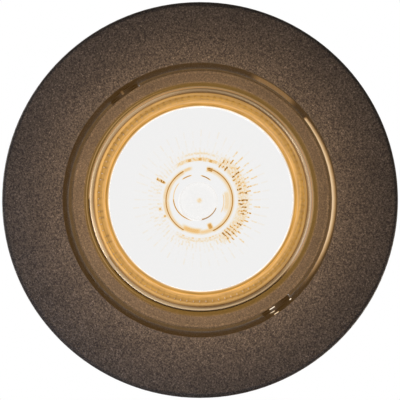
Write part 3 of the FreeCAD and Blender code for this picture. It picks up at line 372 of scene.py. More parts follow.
def coated_trim():
    made, tree, shader, brown = powder_coat("bronze_black_powder_coat", 1.0)
    radius, angle, height = about_axis(tree, trim_axis)
    opening = patch(tree, radius, height, 30.0, 32.3, -2.9, 14.0, 0.1, 0.25)
    # The painted crescent of light starts deeper in the gap towards both ends, and its lower end tapers off
    bend = add(tree, "Math", [add(tree, "Math", [angle, 38.0], operation="DIVIDE"), 2.0], operation="POWER")
    bent = add(tree, "Math", [bend, -2.6, height], operation="MULTIPLY_ADD")
    depth = times(tree, add(tree, "MapRange", [bent, -1.6, 5.5]), window(tree, height, -5.0, 7.9, 0.7))
    taper = add(tree, "MapRange", [angle, -46.0, -12.0], interpolation_type="SMOOTHSTEP")
    wide = times(tree, window(tree, angle, -60.0, 38.0, 0.6), taper)
    # Past a shadow it goes on, narrower and fainter
    narrow = times(tree, patch(tree, height, angle, -1.0, 7.4, 46.5, 66.0, 1.0, 2.5), 0.24)
    crescent = times(tree, add(tree, "Math", [wide, depth, narrow], operation="MULTIPLY_ADD"), opening)
    # A painted glint spot and a painted stroke of light by the lower pivot
    painted_glint_spot = times(tree, patch(tree, height, angle, 2.6, 4.4, -48.1, -47.2, 0.5, 0.25), opening)
    stroke = times(tree, patch(tree, height, angle, -1.9, -0.3, -57.0, -54.8, 0.4, 0.3), opening)
    lit = largest(tree, times(tree, crescent, 0.74), times(tree, painted_glint_spot, 1.3), times(tree, stroke, 0.9))
    gap_light(tree, shader, opening, lit)
    # Painted shade: the coat's colour is darkened in the gap
    shaded = add(tree, "Mix", [opening, WHITE, linear(GAP_PAINTED_SHADE)], data_type="RGBA")
    set_shader(shader, Base_Color=add(tree, "VectorMath", [brown, shaded], operation="MULTIPLY"))
    return made


def coated_gimbal():
    made, tree, shader, brown = powder_coat("bronze_black_powder_coat_by_the_lamp", 0.5)
    radius, angle, height = about_axis(tree, lamp_axis)
    leftness = add(tree, "MapRange", [from_right(tree, angle), 100.0, 140.0])
    # The gap's light on the side wall, on its rounded front edge and in the pivots' slots
    edge = add(tree, "MapRange", [window(tree, radius, 29.9, 30.12, 0.03), 0.0, 1.0, 0.12, 0.10])
    side = times(tree, patch(tree, radius, height, 29.9, 33.0, -9.0, 2.0, 0.03, 0.5), edge)
    rounding = times(tree, patch(tree, radius, height, 29.2, 29.85, -9.0, -8.0, 0.12, 0.2), 0.032)
    slot = times(tree, patch(tree, radius, height, 27.6, 29.9, -8.1, 4.0, 0.1, 0.1),
                 add(tree, "Math", [leftness, 0.03, 0.04], operation="MULTIPLY_ADD"))
    # Painted light of the lamp on the bevel's edge, on the groove between the wire ring's ends and on the
    # groove's lip
    ridge = times(tree, window(tree, radius, 26.56, 26.74, 0.08), leftness, 0.19)
    painted_groove_glow = times(tree, patch(tree, radius, angle, 25.35, 26.05, -148.6, -140.0, 0.2, 0.3), 0.52)
    lip = times(tree, patch(tree, radius, angle, 26.1, 26.3, -38.0, 145.0, 0.08, 8.0), 0.18)
    bright = largest(tree, ridge, painted_groove_glow, lip)
    bevel = window(tree, radius, 20.0, 27.1, 0.3)
    lit = largest(tree, side, slot, rounding, bright)
    glow = add(tree, "Math", [bevel, 0.03, lit], operation="MULTIPLY_ADD")
    # Faint light shows the coat's own grain, and a bright line hides it
    grained = add(tree, "VectorMath", [brown, (10.0, 8.2, 4.9)], operation="MULTIPLY")
    warmth = add(tree, "Mix", [times(tree, bright, 4.0), grained, linear("#FFDDB4")], data_type="RGBA")
    # Painted shade in the gap, painted warm light on the whole face, and the bevel painted golden brown for
    # the lamp's light
    shaded = add(tree, "Mix", [window(tree, radius, 30.05, 33.0, 0.05), WHITE,
                               linear(GAP_PAINTED_SHADE)], data_type="RGBA")
    painted_warm_light = add(tree, "VectorMath", [brown, (1.08, 1.0, 0.84)], operation="MULTIPLY")
    dimmed = add(tree, "VectorMath", [painted_warm_light, shaded], operation="MULTIPLY")
    bevel_painted_gold = add(tree, "Mix", [bevel, dimmed, linear("#4A3813")], data_type="RGBA")
    set_shader(shader, Base_Color=bevel_painted_gold, Emission_Color=warmth, Emission_Strength=glow)
    return made


put_on(coated_trim(), "trim_ring")
put_on(coated_gimbal(), "gimbal_ring")

# %% [markdown]
# ## Steel: springs, strip and zinc plate
#
# The blades, springs, washers and the wire ring are spring steel. Strip and wire are drawn or rolled, so
# fine lines run along them, and these lines, not a colour, are what makes it look like steel. The blades of
# the two clips mirror each other, so the pattern reads the size of Y without its sign. The washers lie in
# the gap with the pivot screws. The washers are painted dark and the screws darkened inside the gap, both
# as painted shade, and both get the gap's faint light, with short painted glints along the edge of one pair
# of washers. The brackets, rivets, pins and screws are zinc plated: a slightly bluish grey with a cloudy
# sheen.
#
# The wire ring round the lamp is bronzed. A painted highlight runs along its crest, and at the right a
# broader one covers nearly the whole wire. The bronze is painted paler at the left and the lower left, where
# the light falls, and darker below and at the upper right as painted shade. The painted highlight is placed
# about its own axis, and the thin warm line of the lamp's light on the wire's outer flank about the lamp's.

# %% Steel finishes
def rolled_steel(name, colour, turn=0.0, line_mm=0.16):
    made, tree, shader = new_material(name, Metallic=1.0)
    parts = add(tree, "SeparateXYZ", [millimetres(tree)])
    size_of_y = add(tree, "Math", [parts.outputs["Y"]], operation="ABSOLUTE")
    folded = add(tree, "CombineXYZ", [parts.outputs["X"], size_of_y, parts.outputs["Z"]])
    along = add(tree, "Mapping", {"Vector": folded, "Rotation": (turn, 0, 0),
                                  "Scale": (1 / line_mm, 0.06, 0.6)})
    lines = add(tree, "TexNoise", {"Vector": along, "Scale": 1.0, "Detail": 3.0, "Roughness": 0.65})
    shade = add(tree, "MapRange", [lines, 0.25, 0.75, 0.80, 1.10])
    toned = add(tree, "VectorMath", [linear(colour)[:3], shade], operation="MULTIPLY")
    set_shader(shader, Base_Color=toned, Roughness=add(tree, "MapRange", [lines, 0.25, 0.75, 0.22, 0.40]),
               Normal=add(tree, "Bump", {"Strength": 0.25, "Distance": 0.02 * MM, "Height": lines}))
    return made


def zinc_plate(name):
    made, tree, shader = new_material(name, Metallic=1.0)
    place = millimetres(tree)
    cloud = add(tree, "TexNoise", {"Vector": place, "Scale": 1 / 2.6, "Detail": 4.0, "Roughness": 0.6})
    fine = add(tree, "TexNoise", {"Vector": place, "Scale": 1 / 0.22, "Detail": 2.0})
    colours = set_stops(add(tree, "ValToRGB", [cloud]), [
        (0.30, "#A9B0B4"), (0.48, "#BDBEBB"), (0.62, "#C6C1B2"), (0.75, "#B3B8C0")])
    set_shader(shader, Base_Color=colours, Roughness=add(tree, "MapRange", [cloud, 0.3, 0.7, 0.24, 0.42]),
               Normal=add(tree, "Bump", {"Strength": 0.2, "Distance": 0.03 * MM, "Height": fine}))
    return made, tree, shader, colours


def bronzed_wire(name):
    made, tree, shader = new_material(name, Metallic=1.0, Emission_Color=linear("#FFCB89"))
    radius, angle, height = about_axis(tree, highlight_axis)
    along = add(tree, "CombineXYZ", [radius, times(tree, angle, 0.005), height])
    lines = add(tree, "TexNoise", {"Vector": along, "Scale": 1 / 0.16, "Detail": 3.0})
    # Painted highlight along the crest, and over nearly the whole wire at the right
    painted_broad_highlight = times(tree, patch(tree, radius, angle, 25.43, 26.43, -35.0, 38.0, 0.15, 8.0), 0.8)
    painted_crest_highlight = largest(tree, window(tree, radius, 25.74, 26.20, 0.18), painted_broad_highlight)
    painted_highlight_colour = add(tree, "Mix", [painted_broad_highlight, linear("#E8C390"), linear("#D8BEA4")], data_type="RGBA")
    # The bronze under it is painted paler at the left and the lower left, where the light falls
    left = add(tree, "MapRange", [from_right(tree, angle), 100.0, 125.0, 0.0, 0.3])
    lower = times(tree, window(tree, angle, -170.0, -95.0, 10.0), 0.6)
    painted_light_left = add(tree, "Math", [left, lower], operation="ADD")
    bronze_with_painted_light = add(tree, "Mix", [painted_light_left, linear("#A88860"), linear("#E8C89C")], data_type="RGBA")
    bronze = add(tree, "Mix", [painted_crest_highlight, bronze_with_painted_light, painted_highlight_colour], data_type="RGBA")
    shade = add(tree, "MapRange", [lines, 0.3, 0.7, 0.9, 1.07])
    # Painted shade below and at the upper right
    painted_shade_stretches = largest(tree, window(tree, angle, -150.0, -45.0, 12.0), window(tree, angle, 38.0, 98.0, 12.0))
    painted_shade_factor = add(tree, "MapRange", [painted_shade_stretches, 0.0, 1.0, 1.0, 0.68])
    toned = add(tree, "VectorMath", [bronze, times(tree, shade, painted_shade_factor)], operation="MULTIPLY")
    lamp_side, lamp_angle, _ = about_axis(tree, lamp_axis)
    flank = patch(tree, lamp_side, lamp_angle, 25.95, 26.8, -38.0, 190.0, 0.08, 8.0)
    rough = add(tree, "MapRange", [lines, 0.3, 0.7, 0.34, 0.48])
    set_shader(shader, Base_Color=toned, Emission_Strength=times(tree, flank, 0.34),
               Roughness=add(tree, "Math", [painted_broad_highlight, 0.22, rough], operation="MULTIPLY_ADD"))
    return made


def pivot_glints(tree, radius, angle):
    """Painted glints: short strokes along the washers' rims at the lower pivot, and one tick at the upper."""
    inner = patch(tree, radius, angle, 30.40, 30.66, -57.6, -54.9, 0.05, 0.3)
    outer = times(tree, patch(tree, radius, angle, 31.36, 31.62, -58.4, -56.0, 0.05, 0.3), 0.9)
    tick = times(tree, patch(tree, radius, angle, 30.6, 31.8, 125.4, 126.4, 0.1, 0.3), 0.13)
    return largest(tree, inner, outer, tick)


def dark_steel_in_shade(name):
    # Painted shade: a dark steel colour for the washers in the slot, with the gap's light and painted glints
    made, tree, shader = new_material(name, Metallic=0.7, Roughness=0.45)
    radius, angle, _ = about_axis(tree, trim_axis)
    dark_mottle = add(tree, "TexNoise", {"Vector": millimetres(tree), "Scale": 1 / 0.5, "Detail": 2.0})
    tone = add(tree, "Mix", [dark_mottle, linear("#2E251B"), linear("#4A3B2A")], data_type="RGBA")
    set_shader(shader, Base_Color=tone)
    gap_light(tree, shader, 0.9, pivot_glints(tree, radius, angle))
    return made


def pivot_zinc(name):
    """Zinc plate painted dark inside the gap as painted shade, with the gap's light."""
    made, tree, shader, zinc = zinc_plate(name)
    radius, angle, _ = about_axis(tree, trim_axis)
    inside = window(tree, radius, -1.0, 32.2, 0.05)
    dark = add(tree, "MapRange", [inside, 0.0, 1.0, 1.0, 0.03])
    set_shader(shader, Base_Color=add(tree, "VectorMath", [zinc, dark], operation="MULTIPLY"))
    gap_light(tree, shader, inside, times(tree, pivot_glints(tree, radius, angle), inside))
    return made


clip_rest_angle = math.radians(75)
spring_wire_steel = rolled_steel("drawn_spring_steel_wire", "#B9B6AF", line_mm=0.3)
put_on(rolled_steel("rolled_spring_steel_strip", "#AEADA8", turn=clip_rest_angle),
       "clip_blade_a", "clip_blade_b")
put_on(dark_steel_in_shade("spring_steel_painted_dark_in_shade"), "friction_washers_a", "friction_washers_b")
put_on(bronzed_wire("bronzed_spring_steel_wire"), "retaining_ring")
put_on(zinc_plate("zinc_plated_steel")[0], "clip_bracket_a", "clip_bracket_b", "clip_rivets_a",
       "clip_rivets_b", "clip_pin_a", "clip_pin_b", "lampholder_screws")
put_on(pivot_zinc("zinc_plated_pivot_steel"), "pivot_screw_a", "pivot_screw_b")

# %% [markdown]
# ## Ceramic, nickel and silicone behind the trim
#
# The lamp's base and the lampholder are steatite, a fired ceramic that is left unglazed: a warm off-white,
# dry to the eye, with fine grey specks and a soft grain. The pins and leaf contacts are nickel-plated
# brass, which is a little yellower and glossier than zinc. The soft tips on the blades are black silicone:
# dark, even and slightly dusty at a low angle, which the shader's sheen gives.

# %% Ceramic, nickel and silicone
def steatite(name, colour):
    made, tree, shader = new_material(name, Specular_IOR_Level=0.4)
    place = millimetres(tree)
    specks = add(tree, "TexNoise", {"Vector": place, "Scale": 1 / 0.30, "Detail": 1.0})
    cloud = add(tree, "TexNoise", {"Vector": place, "Scale": 1 / 5.0, "Detail": 3.0})
    speckled = add(tree, "MapRange", [specks, 0.66, 0.74, 1.0, 0.72])
    uneven = add(tree, "MapRange", [cloud, 0.3, 0.7, 0.94, 1.03])
    shade = times(tree, speckled, uneven)
    toned = add(tree, "VectorMath", [linear(colour)[:3], shade], operation="MULTIPLY")
    set_shader(shader, Base_Color=toned, Roughness=add(tree, "MapRange", [cloud, 0.3, 0.7, 0.50, 0.68]),
               Normal=add(tree, "Bump", {"Strength": 0.3, "Distance": 0.06 * MM, "Height": specks}))
    return made


def nickel_plate(name):
    made, tree, shader = new_material(name, Metallic=1.0, Base_Color=linear("#D2CAB6"))
    place = millimetres(tree)
    scuffs = add(tree, "TexNoise", {"Vector": place, "Scale": 1 / 0.8, "Detail": 5.0, "Roughness": 0.7})
    set_shader(shader, Roughness=add(tree, "MapRange", [scuffs, 0.3, 0.7, 0.12, 0.34]))
    return made


def silicone(name):
    made, tree, shader = new_material(name, Sheen_Weight=0.25, Sheen_Roughness=0.5)
    place = millimetres(tree)
    skin = add(tree, "TexNoise", {"Vector": place, "Scale": 1 / 0.25, "Detail": 3.0})
    dust = add(tree, "TexNoise", {"Vector": place, "Scale": 1 / 3.0, "Detail": 4.0})
    tone = add(tree, "Mix", [dust, linear("#161616"), linear("#2A2A29")], data_type="RGBA")
    set_shader(shader, Base_Color=tone, Roughness=add(tree, "MapRange", [dust, 0.0, 1.0, 0.48, 0.72]),
               Normal=add(tree, "Bump", {"Strength": 0.25, "Distance": 0.05 * MM, "Height": skin}))
    return made


put_on(steatite("unglazed_steatite", "#E9E2D3"), "lamp_base", "lampholder_body", "lampholder_cap")
put_on(nickel_plate("nickel_plated_brass"), "lamp_pins", "lampholder_contacts")
put_on(silicone("black_silicone"), "clip_tip_a", "clip_tip_b")

# %% [markdown]
# ## The lit lamp
#
# The lamp's bowl is pressed glass with a mirror coating. Lit, it looks evenly white from the front, and
# what tells it from a blank disc is fine: a sunburst of short gold dashes round the neck, where the facets
# throw back the quartz capsule, and a thin gold ring where the neck begins. All of it glows, so the colours
# are an emission, and the marks are masks made of radius and angle. One Color Ramp turns a mask into colour
# for every piece of the lamp: a faint mark only loses some blue and is cream, and a strong one is dark
# gold.
#
# The neck is a hair off the middle in a lamp like this, so its marks have an axis of their own. A row of
# dashes is a comb cut off by a window of radius, and White Noise gives each dash its own strength and
# length, as no two facets catch the same bit of the capsule. The marks stand in two tables, one of rows and
# one of patches.

# %% Marks of the lit lamp
GLOW = 0.862
neck_axis = axis_coordinates("neck_axis", REST_TILT, hinge, right_mm=0.57, up_mm=0.40)


def white_to_gold(tree, marks):
    """White where there is no mark, then cream, gold and dark gold."""
    return set_stops(add(tree, "ValToRGB", [marks]), [
        (0.0, "#FFFFFF"), (0.25, "#FFEED0"), (0.5, "#FFD18B"), (0.75, "#DA9E48"), (1.0, "#96621A")])


def patches(tree, radius, angle, table):
    """Rows of two radii, two angles, soft edges in millimetres and degrees, and then factors."""
    return [times(tree, patch(tree, radius, angle, *row[:6]), *row[6:]) for row in table]


def dash_row(tree, radius, angle, low, high, pitch, half_width, seed):
    """One row of radial dashes, each with its own strength and length."""
    place = add(tree, "Math", [angle, 1.0 / pitch, seed + 0.5], operation="MULTIPLY_ADD")
    number = add(tree, "Math", [place], operation="FLOOR")
    chance = add(tree, "TexWhiteNoise", {"W": number}, noise_dimensions="1D")
    parts = add(tree, "SeparateXYZ", [chance.outputs["Color"]])
    strength = add(tree, "MapRange", [parts.outputs["X"], 0.12, 0.8, 0.25, 1.1])
    longer = add(tree, "Math", [parts.outputs["Y"], high - low, (low - high) / 2], operation="MULTIPLY_ADD")
    moved = add(tree, "Math", [longer, 0.5, radius], operation="MULTIPLY_ADD")
    aside = add(tree, "Math", [parts.outputs["Z"], 0.6 * half_width, angle], operation="MULTIPLY_ADD")
    teeth = comb(tree, aside, pitch, half_width, 0.5 * half_width, -0.3 * half_width)
    return times(tree, window(tree, moved, low, high, 0.12), teeth, strength)


def neck_marks(tree):
    """The sunburst, the gold ring and the strokes in the neck, from zero to one."""
    radius, angle, _ = about_axis(tree, neck_axis)
    around = from_right(tree, angle)
    right = add(tree, "MapRange", [around, 55.0, 68.0, 1.0, 0.0], interpolation_type="SMOOTHSTEP")
    speckle = add(tree, "TexNoise", {"Vector": millimetres(tree), "Scale": 1 / 0.55, "Detail": 2.0})
    mottled = add(tree, "MapRange", [speckle, 0.36, 0.60, 0.35, 1.15])
    gold = times(tree, largest(tree, right, 0.20), mottled)
    # Rows of dashes: two radii, the pitch and half a dash in degrees, a seed, and then the factors
    rows = [(9.6, 10.7, 5, 1.2, 3, gold),
            (10.6, 11.8, 4.5, 1, 17, gold),
            (11.7, 12.8, 5, 0.8, 40, gold, 0.75),
            (13.1, 14.6, 7.5, 0.7, 71, gold, 0.38),
            (14.9, 16.4, 7.5, 0.6, 33, 0.09),
            (9.8, 10.5, 7.5, 2.9, 5, 0.6, window(tree, angle, 62, 124, 5)),
            (9.35, 9.75, 5, 2, 7, 0.38, window(tree, angle, -124, -62, 5))]
    dashes = [times(tree, dash_row(tree, radius, angle, *row[:5]), *row[5:]) for row in rows]
    haze = times(tree, window(tree, radius, 9.5, 12.0, 0.5), right, mottled, 0.32)
    # The gold ring is open above and below
    open_at = largest(tree, window(tree, angle, 77, 118, 2), window(tree, angle, -117, -66, 2))
    closed = add(tree, "MapRange", [open_at, 0.0, 1.0, 1.0, 0.0])
    ring = [times(tree, window(tree, radius, 8.08, 8.40, 0.1), closed, 0.88),
            times(tree, window(tree, radius, 7.6, 8.65, 0.3), closed, 0.36),
            times(tree, window(tree, radius, 7.5, 9.0, 0.3), window(tree, around, 150, 181, 8), 0.36)]
    strokes = comb(tree, radius, 0.34, 0.05, 0.06)
    single = patches(tree, radius, angle, [
        # Arcs above and below the ring
        (9.75, 10.6, 64, 124, 0.2, 8, mottled, 0.42),
        (11.2, 11.75, 68, 112, 0.2, 8, mottled, 0.26),
        (9.8, 10.4, -124, -62, 0.2, 8, mottled, 0.28),
        # Three strokes at the left
        (9.5, 11.8, 151.8, 155.2, 0.3, 0.9, mottled, 0.95),
        (9.7, 10.3, -169, -166, 0.15, 2, 0.75),
        (9.1, 9.7, -157, -154, 0.15, 2, 0.75),
        # The ring's thick ends at the top
        (7.9, 8.6, 104, 119, 0.25, 4, 0.42),
        (7.65, 8.6, 66, 76.5, 0.25, 2, mottled, 0.85),
        # Strokes in the neck, at the right and below
        (6.5, 7.6, -18, 18, 0.2, 4, 0.30),
        (6.5, 7.6, -24, 14, 0.2, 4, strokes, 0.46),
        (6.12, 6.3, -27, 15, 0.1, 4, 0.5),
        (7, 8.3, -122, -86, 0.45, 7, 0.54),
        (7.4, 8.4, -90, -62, 0.4, 5, 0.42),
        (6.2, 7.7, -71, -62, 0.35, 3, 0.72)])
    return largest(tree, *dashes, haze, *ring, *single)


# %% [markdown]
# ## The rim of the lamp
#
# Outside the bowl's mouth the lamp ends in a rim of clear pressed glass, and the cover glass is cemented
# into its inner edge. The rim carries the lamp's light and glows gold, with fine steps that run round it: a
# Color Ramp over the radius gives each step its own tone, brightest where the glass is thinnest. Short
# radial beads in the mould show as a row of ticks, mostly at the left, and a noise drawn out along the rim
# breaks the steps up. At the lower left two of the steps catch more light. The outside of the bowl is plain
# coated glass, with a little light coming through.

# %% Reflector
BOWL_RADIUS = 21.7
NECK_RADIUS = 8.2
BOWL_DEPTH = 19.8
BEADS = 100


def rim_glow(tree, radius, angle):
    """The gold of the rim."""
    across = add(tree, "MapRange", [radius, 21.5, 25.5])
    steps = set_stops(add(tree, "ValToRGB", [across]), [
        (0.02, "#FFFFFF"), (0.07, "#E0BA88"), (0.12, "#B78A46"), (0.18, "#B0803A"), (0.24, "#CB9344"),
        (0.30, "#E2AF6A"), (0.37, "#CE984A"), (0.50, "#B88638"), (0.59, "#AD7D2B"), (0.67, "#A4742A"),
        (0.77, "#B98C4A"), (0.83, "#B18648"), (0.90, "#96703A"), (1.00, "#8A6538")])
    leftness = add(tree, "MapRange", [from_right(tree, angle), 100.0, 150.0])
    lip = times(tree, window(tree, radius, 24.35, 24.95, 0.2), leftness, 0.62)
    # The row of ticks, uneven in strength
    ticks = comb(tree, angle, 360.0 / BEADS, 0.6, 0.4)
    patchy = add(tree, "TexNoise", {"Vector": millimetres(tree), "Scale": 1 / 1.3})
    varied = add(tree, "MapRange", [patchy, 0.35, 0.6])
    weight = add(tree, "Math", [leftness, 0.20, 0.15], operation="MULTIPLY_ADD")
    beaded = times(tree, ticks, weight, varied, window(tree, radius, 23.1, 24.4, 0.2))
    # Streaks along the rim, and the two brighter steps
    along = add(tree, "CombineXYZ", [radius, times(tree, angle, 0.03), 0.0])
    streaks = add(tree, "TexNoise", {"Vector": along, "Scale": 1 / 0.42, "Detail": 2.0})
    streaked = add(tree, "MapRange", [streaks, 0.32, 0.68, 0.80, 1.22])
    darker = add(tree, "Math", [streaked, beaded], operation="SUBTRACT")
    with_lip = add(tree, "Math", [darker, lip], operation="ADD")
    glints = largest(tree, times(tree, window(tree, radius, 23.9, 24.25, 0.12), 0.40),
                     times(tree, window(tree, radius, 22.2, 22.45, 0.1), 0.32))
    lower_left = window(tree, angle, -170.0, -115.0, 8.0)
    shade = add(tree, "Math", [glints, lower_left, with_lip], operation="MULTIPLY_ADD")
    return add(tree, "VectorMath", [steps, shade], operation="MULTIPLY")


def lit_reflector(name):
    made, tree, shader = new_material(name, Roughness=0.12)
    radius, _, height = about_axis(tree, lamp_axis)
    rim_radius, rim_angle, _ = about_axis(tree, rim_axis)
    in_rim = window(tree, height, lamp_front - 1.0, lamp_front + 1.72, 0.03)
    colour = add(tree, "Mix", [in_rim, white_to_gold(tree, neck_marks(tree)),
                               rim_glow(tree, rim_radius, rim_angle)], data_type="RGBA")
    # The bowl is a parabola, so the square of its radius falls evenly with its depth
    mouth = lamp_front + 1.65
    share = add(tree, "MapRange", [height, mouth, mouth + BOWL_DEPTH])
    widest = (BOWL_RADIUS + 0.7) ** 2
    narrowest = widest - BOWL_RADIUS ** 2 + NECK_RADIUS ** 2
    wall_squared = add(tree, "MapRange", [share, 0.0, 1.0, widest, narrowest])
    wall = add(tree, "Math", [wall_squared, 0.5], operation="POWER")
    beyond = add(tree, "Math", [radius, wall], operation="SUBTRACT")
    inner = add(tree, "MapRange", [beyond, -0.1, 0.1, 1.0, 0.05])
    mirror = add(tree, "MapRange", [beyond, -0.1, 0.1, 0.0, 0.5])
    lit = largest(tree, inner, in_rim)
    strength = add(tree, "MapRange", [in_rim, 0.0, 1.0, GLOW, 1.0])
    dark = add(tree, "MapRange", [lit, 0.0, 1.0, 0.55, 0.04])
    base = add(tree, "VectorMath", [linear("#B89766")[:3], dark], operation="MULTIPLY")
    set_shader(shader, Base_Color=base, Emission_Color=colour,
               Emission_Strength=times(tree, lit, strength),
               Specular_IOR_Level=largest(tree, mirror, times(tree, in_rim, 0.3)))
    return made


reflector = lit_reflector("mirror_coated_pressed_glass")
put_on(reflector, "lamp_reflector")

# %% [markdown]
# ## Clear glass, the capsule and its cement
#
# The cover glass is a clear disc: a Principled shader with full transmission and no roughness, and a weak
# mirror, as the lit bowl outshines what it reflects. Where the disc is cemented it isn't clear, and shows
# the rim's gold. The capsule is quartz. Lit, it outshines its own walls, so only a quarter of it is
# see-through and the rest glows white, with gold where the steep side of the tube gathers the colour of the
# neck and a smudge where the filament is seen end on. Behind it, white cement fills the neck, fully lit,
# with thin gold arcs, the capsule's image in the neck.

# %% Glass and cement
capsule_axis = axis_coordinates("capsule_axis", REST_TILT, hinge, right_mm=-0.2, up_mm=1.1)


def clear_glass(name):
    made, tree, shader = new_material(name, Roughness=0.0, IOR=1.5, Specular_Tint=linear("#8A8A8A"))
    radius, angle, _ = about_axis(tree, rim_axis)
    cemented = window(tree, radius, BOWL_RADIUS - 0.12, 30.0, 0.03)
    clear = add(tree, "MapRange", [cemented, 0.0, 1.0, 1.0, 0.0])
    shown = add(tree, "Mix", [cemented, WHITE, linear("#2A2014")], data_type="RGBA")
    set_shader(shader, Base_Color=shown, Transmission_Weight=clear,
               Emission_Color=rim_glow(tree, radius, angle), Emission_Strength=cemented)
    return made


def lit_quartz(name):
    made, tree, shader = new_material(name, Roughness=0.05, IOR=1.46, Transmission_Weight=0.25,
                                       Specular_IOR_Level=0.0, Base_Color=linear("#5A5650"))
    radius, angle, _ = about_axis(tree, lamp_axis)
    arc = patch(tree, radius, angle, 4.4, 5.2, -80.0, -22.0, 0.1)
    patchy = add(tree, "TexNoise", {"Vector": millimetres(tree), "Scale": 1 / 0.5})
    smudge = times(tree, window(tree, radius, -1.0, 0.5, 0.4), patchy, 0.8)
    steep = add(tree, "MapRange", [radius, 4.2, 4.5, 0.765, 0.70])
    colour = white_to_gold(tree, largest(tree, arc, smudge))
    set_shader(shader, Emission_Color=colour, Emission_Strength=steep)
    return made


def lit_cement(name):
    made, tree, shader = new_material(name, Roughness=0.8, Base_Color=linear("#2A2824"),
                                       Specular_IOR_Level=0.0, Emission_Strength=GLOW)
    radius, angle, _ = about_axis(tree, capsule_axis)
    arcs = patches(tree, radius, angle, [
        (5.6, 5.86, 52, 76, 0.1, 4),
        (5.6, 5.86, 102, 125, 0.1, 4, 0.85),
        (5.5, 5.7, 140, 190, 0.1, 4, 0.5),
        (5.5, 5.76, -178, -100, 0.1, 6, 0.85)])
    set_shader(shader, Emission_Color=white_to_gold(tree, largest(tree, neck_marks(tree), *arcs)))
    return made


put_on(clear_glass("clear_cover_glass"), "lamp_cover_glass")
put_on(lit_quartz("lit_quartz"), "lamp_capsule")
put_on(lit_cement("white_neck_cement"), "lamp_cement")

# %% [markdown]
# ## Filament and its wires
#
# The filament is tungsten wire wound into a fine coil. The imported model has only a plain rod of its size,
# so here it is wound for real: a small circle is spun about the lamp's axis, and rises a little with every
# step. It glows a warm yellow-white. The two wires that hold it are dull molybdenum, painted with a white
# glow so that they vanish in the lit lamp.

# %% Wound filament
def new_object(name, mesh, material):
    """Turns a bmesh into an object at the origin."""
    data = bpy.data.meshes.new(name)
    mesh.to_mesh(data)
    mesh.free()
    data.materials.append(material)
    data.shade_smooth()
    made = bpy.data.objects.new(name, data)
    scene.collection.objects.link(made)
    print(name, len(data.polygons), "faces")
    return made


def all_of(mesh):
    """Everything in a bmesh, as its operators ask for it."""
    return mesh.verts[:] + mesh.edges[:] + mesh.faces[:]


def hot_wire(name, colour, glow):
    return new_material(name, Metallic=1.0, Roughness=0.45, Base_Color=linear("#6E6760"),
                        Emission_Color=linear(colour), Emission_Strength=glow)[0]


def wound_filament():
    low, high, radius = heights_on_axis("lamp_filament")
    wire = 0.13
    turns = 14
    steps_per_turn = 14
    rise = (high - low - wire * 2) / turns
    mesh = bmesh.new()
    section = bmesh.ops.create_circle(mesh, segments=6, radius=wire)
    upright = Matrix.Translation((radius - wire, 0, low + wire)) @ Matrix.Rotation(math.pi / 2, 4, "X")
    bmesh.ops.transform(mesh, matrix=upright, verts=section["verts"])
    bmesh.ops.spin(mesh, geom=all_of(mesh), cent=(0, 0, 0), axis=(0, 0, 1), steps=turns * steps_per_turn,
                   angle=math.tau * turns, dvec=(0, 0, rise / steps_per_turn))
    bmesh.ops.holes_fill(mesh, edges=[edge for edge in mesh.edges if edge.is_boundary])
    bmesh.ops.recalc_face_normals(mesh, faces=mesh.faces)
    bmesh.ops.transform(mesh, matrix=to_lamp @ Matrix.Scale(MM, 4), verts=mesh.verts)
    piece = new_object("wound_filament", mesh, hot_wire("glowing_tungsten", "#FFC98C", 0.9))
    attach(piece, "gimbal")
    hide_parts("lamp_filament")


wound_filament()
# The leads' white glow is painted light
put_on(hot_wire("molybdenum_wire_painted_glow", "#FFFFFF", 0.7), "lamp_leads")

# %% [markdown]
# ## Beads and steps on the lamp's rim
#
# A pressed rim isn't smooth: the mould leaves fine steps that run round it and a row of short radial beads.
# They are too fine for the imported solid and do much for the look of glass. One bead is half a small ball,
# made long, and spun into a row, and each step is a circle that is spun into a thin ring. Both sink halfway
# into the rim's front.

# %% Rim relief
BEAD_SIZE = (1.5, 0.75, 0.36)
BEAD_PLACE = 23.75
BEAD_SUNK = 0.08
STEPS = ((22.62, 0.12), (24.72, 0.10))


def rim_relief():
    mesh = bmesh.new()
    ball = bmesh.ops.create_uvsphere(mesh, u_segments=8, v_segments=6, radius=0.5)
    shape = Matrix.Translation((BEAD_PLACE, 0, lamp_front)) @ Matrix.Diagonal((*BEAD_SIZE, 1))
    bmesh.ops.transform(mesh, matrix=shape, verts=ball["verts"])
    bmesh.ops.bisect_plane(mesh, geom=all_of(mesh), dist=1e-5, plane_co=(0, 0, lamp_front + BEAD_SUNK),
                           plane_no=(0, 0, 1), clear_outer=True)
    bmesh.ops.spin(mesh, geom=all_of(mesh), cent=(0, 0, 0), axis=(0, 0, 1), steps=BEADS - 1,
                   angle=math.tau * (BEADS - 1) / BEADS, use_duplicate=True)
    for radius, thick in STEPS:
        circle = bmesh.ops.create_circle(mesh, segments=8, radius=thick)
        edges = list({edge for vertex in circle["verts"] for edge in vertex.link_edges})
        upright = Matrix.Translation((radius, 0, lamp_front)) @ Matrix.Rotation(math.pi / 2, 4, "X")
        bmesh.ops.transform(mesh, matrix=upright, verts=circle["verts"])
        bmesh.ops.spin(mesh, geom=circle["verts"] + edges, cent=(0, 0, 0), axis=(0, 0, 1), steps=120,
                       angle=math.tau, use_merge=True)
    bmesh.ops.recalc_face_normals(mesh, faces=mesh.faces)
    bmesh.ops.transform(mesh, matrix=to_lamp @ Matrix.Scale(MM, 4), verts=mesh.verts)
    piece = new_object("rim_relief", mesh, reflector)
    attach(piece, "gimbal")


rim_relief()

# %% [markdown]
# ## Clip springs in two halves
#
# Each clip has a double torsion spring: two coils on the pin, a leg at each outer end that hooks in the
# bracket, and a bar between the inner ends that lies on the blade. On the real light, when the blade swings,
# the legs stay and the bar follows, so each coil winds up along the pin. The imported spring is copied, its
# loose triangles are merged, and a plane cuts it into two halves, one for each coil.


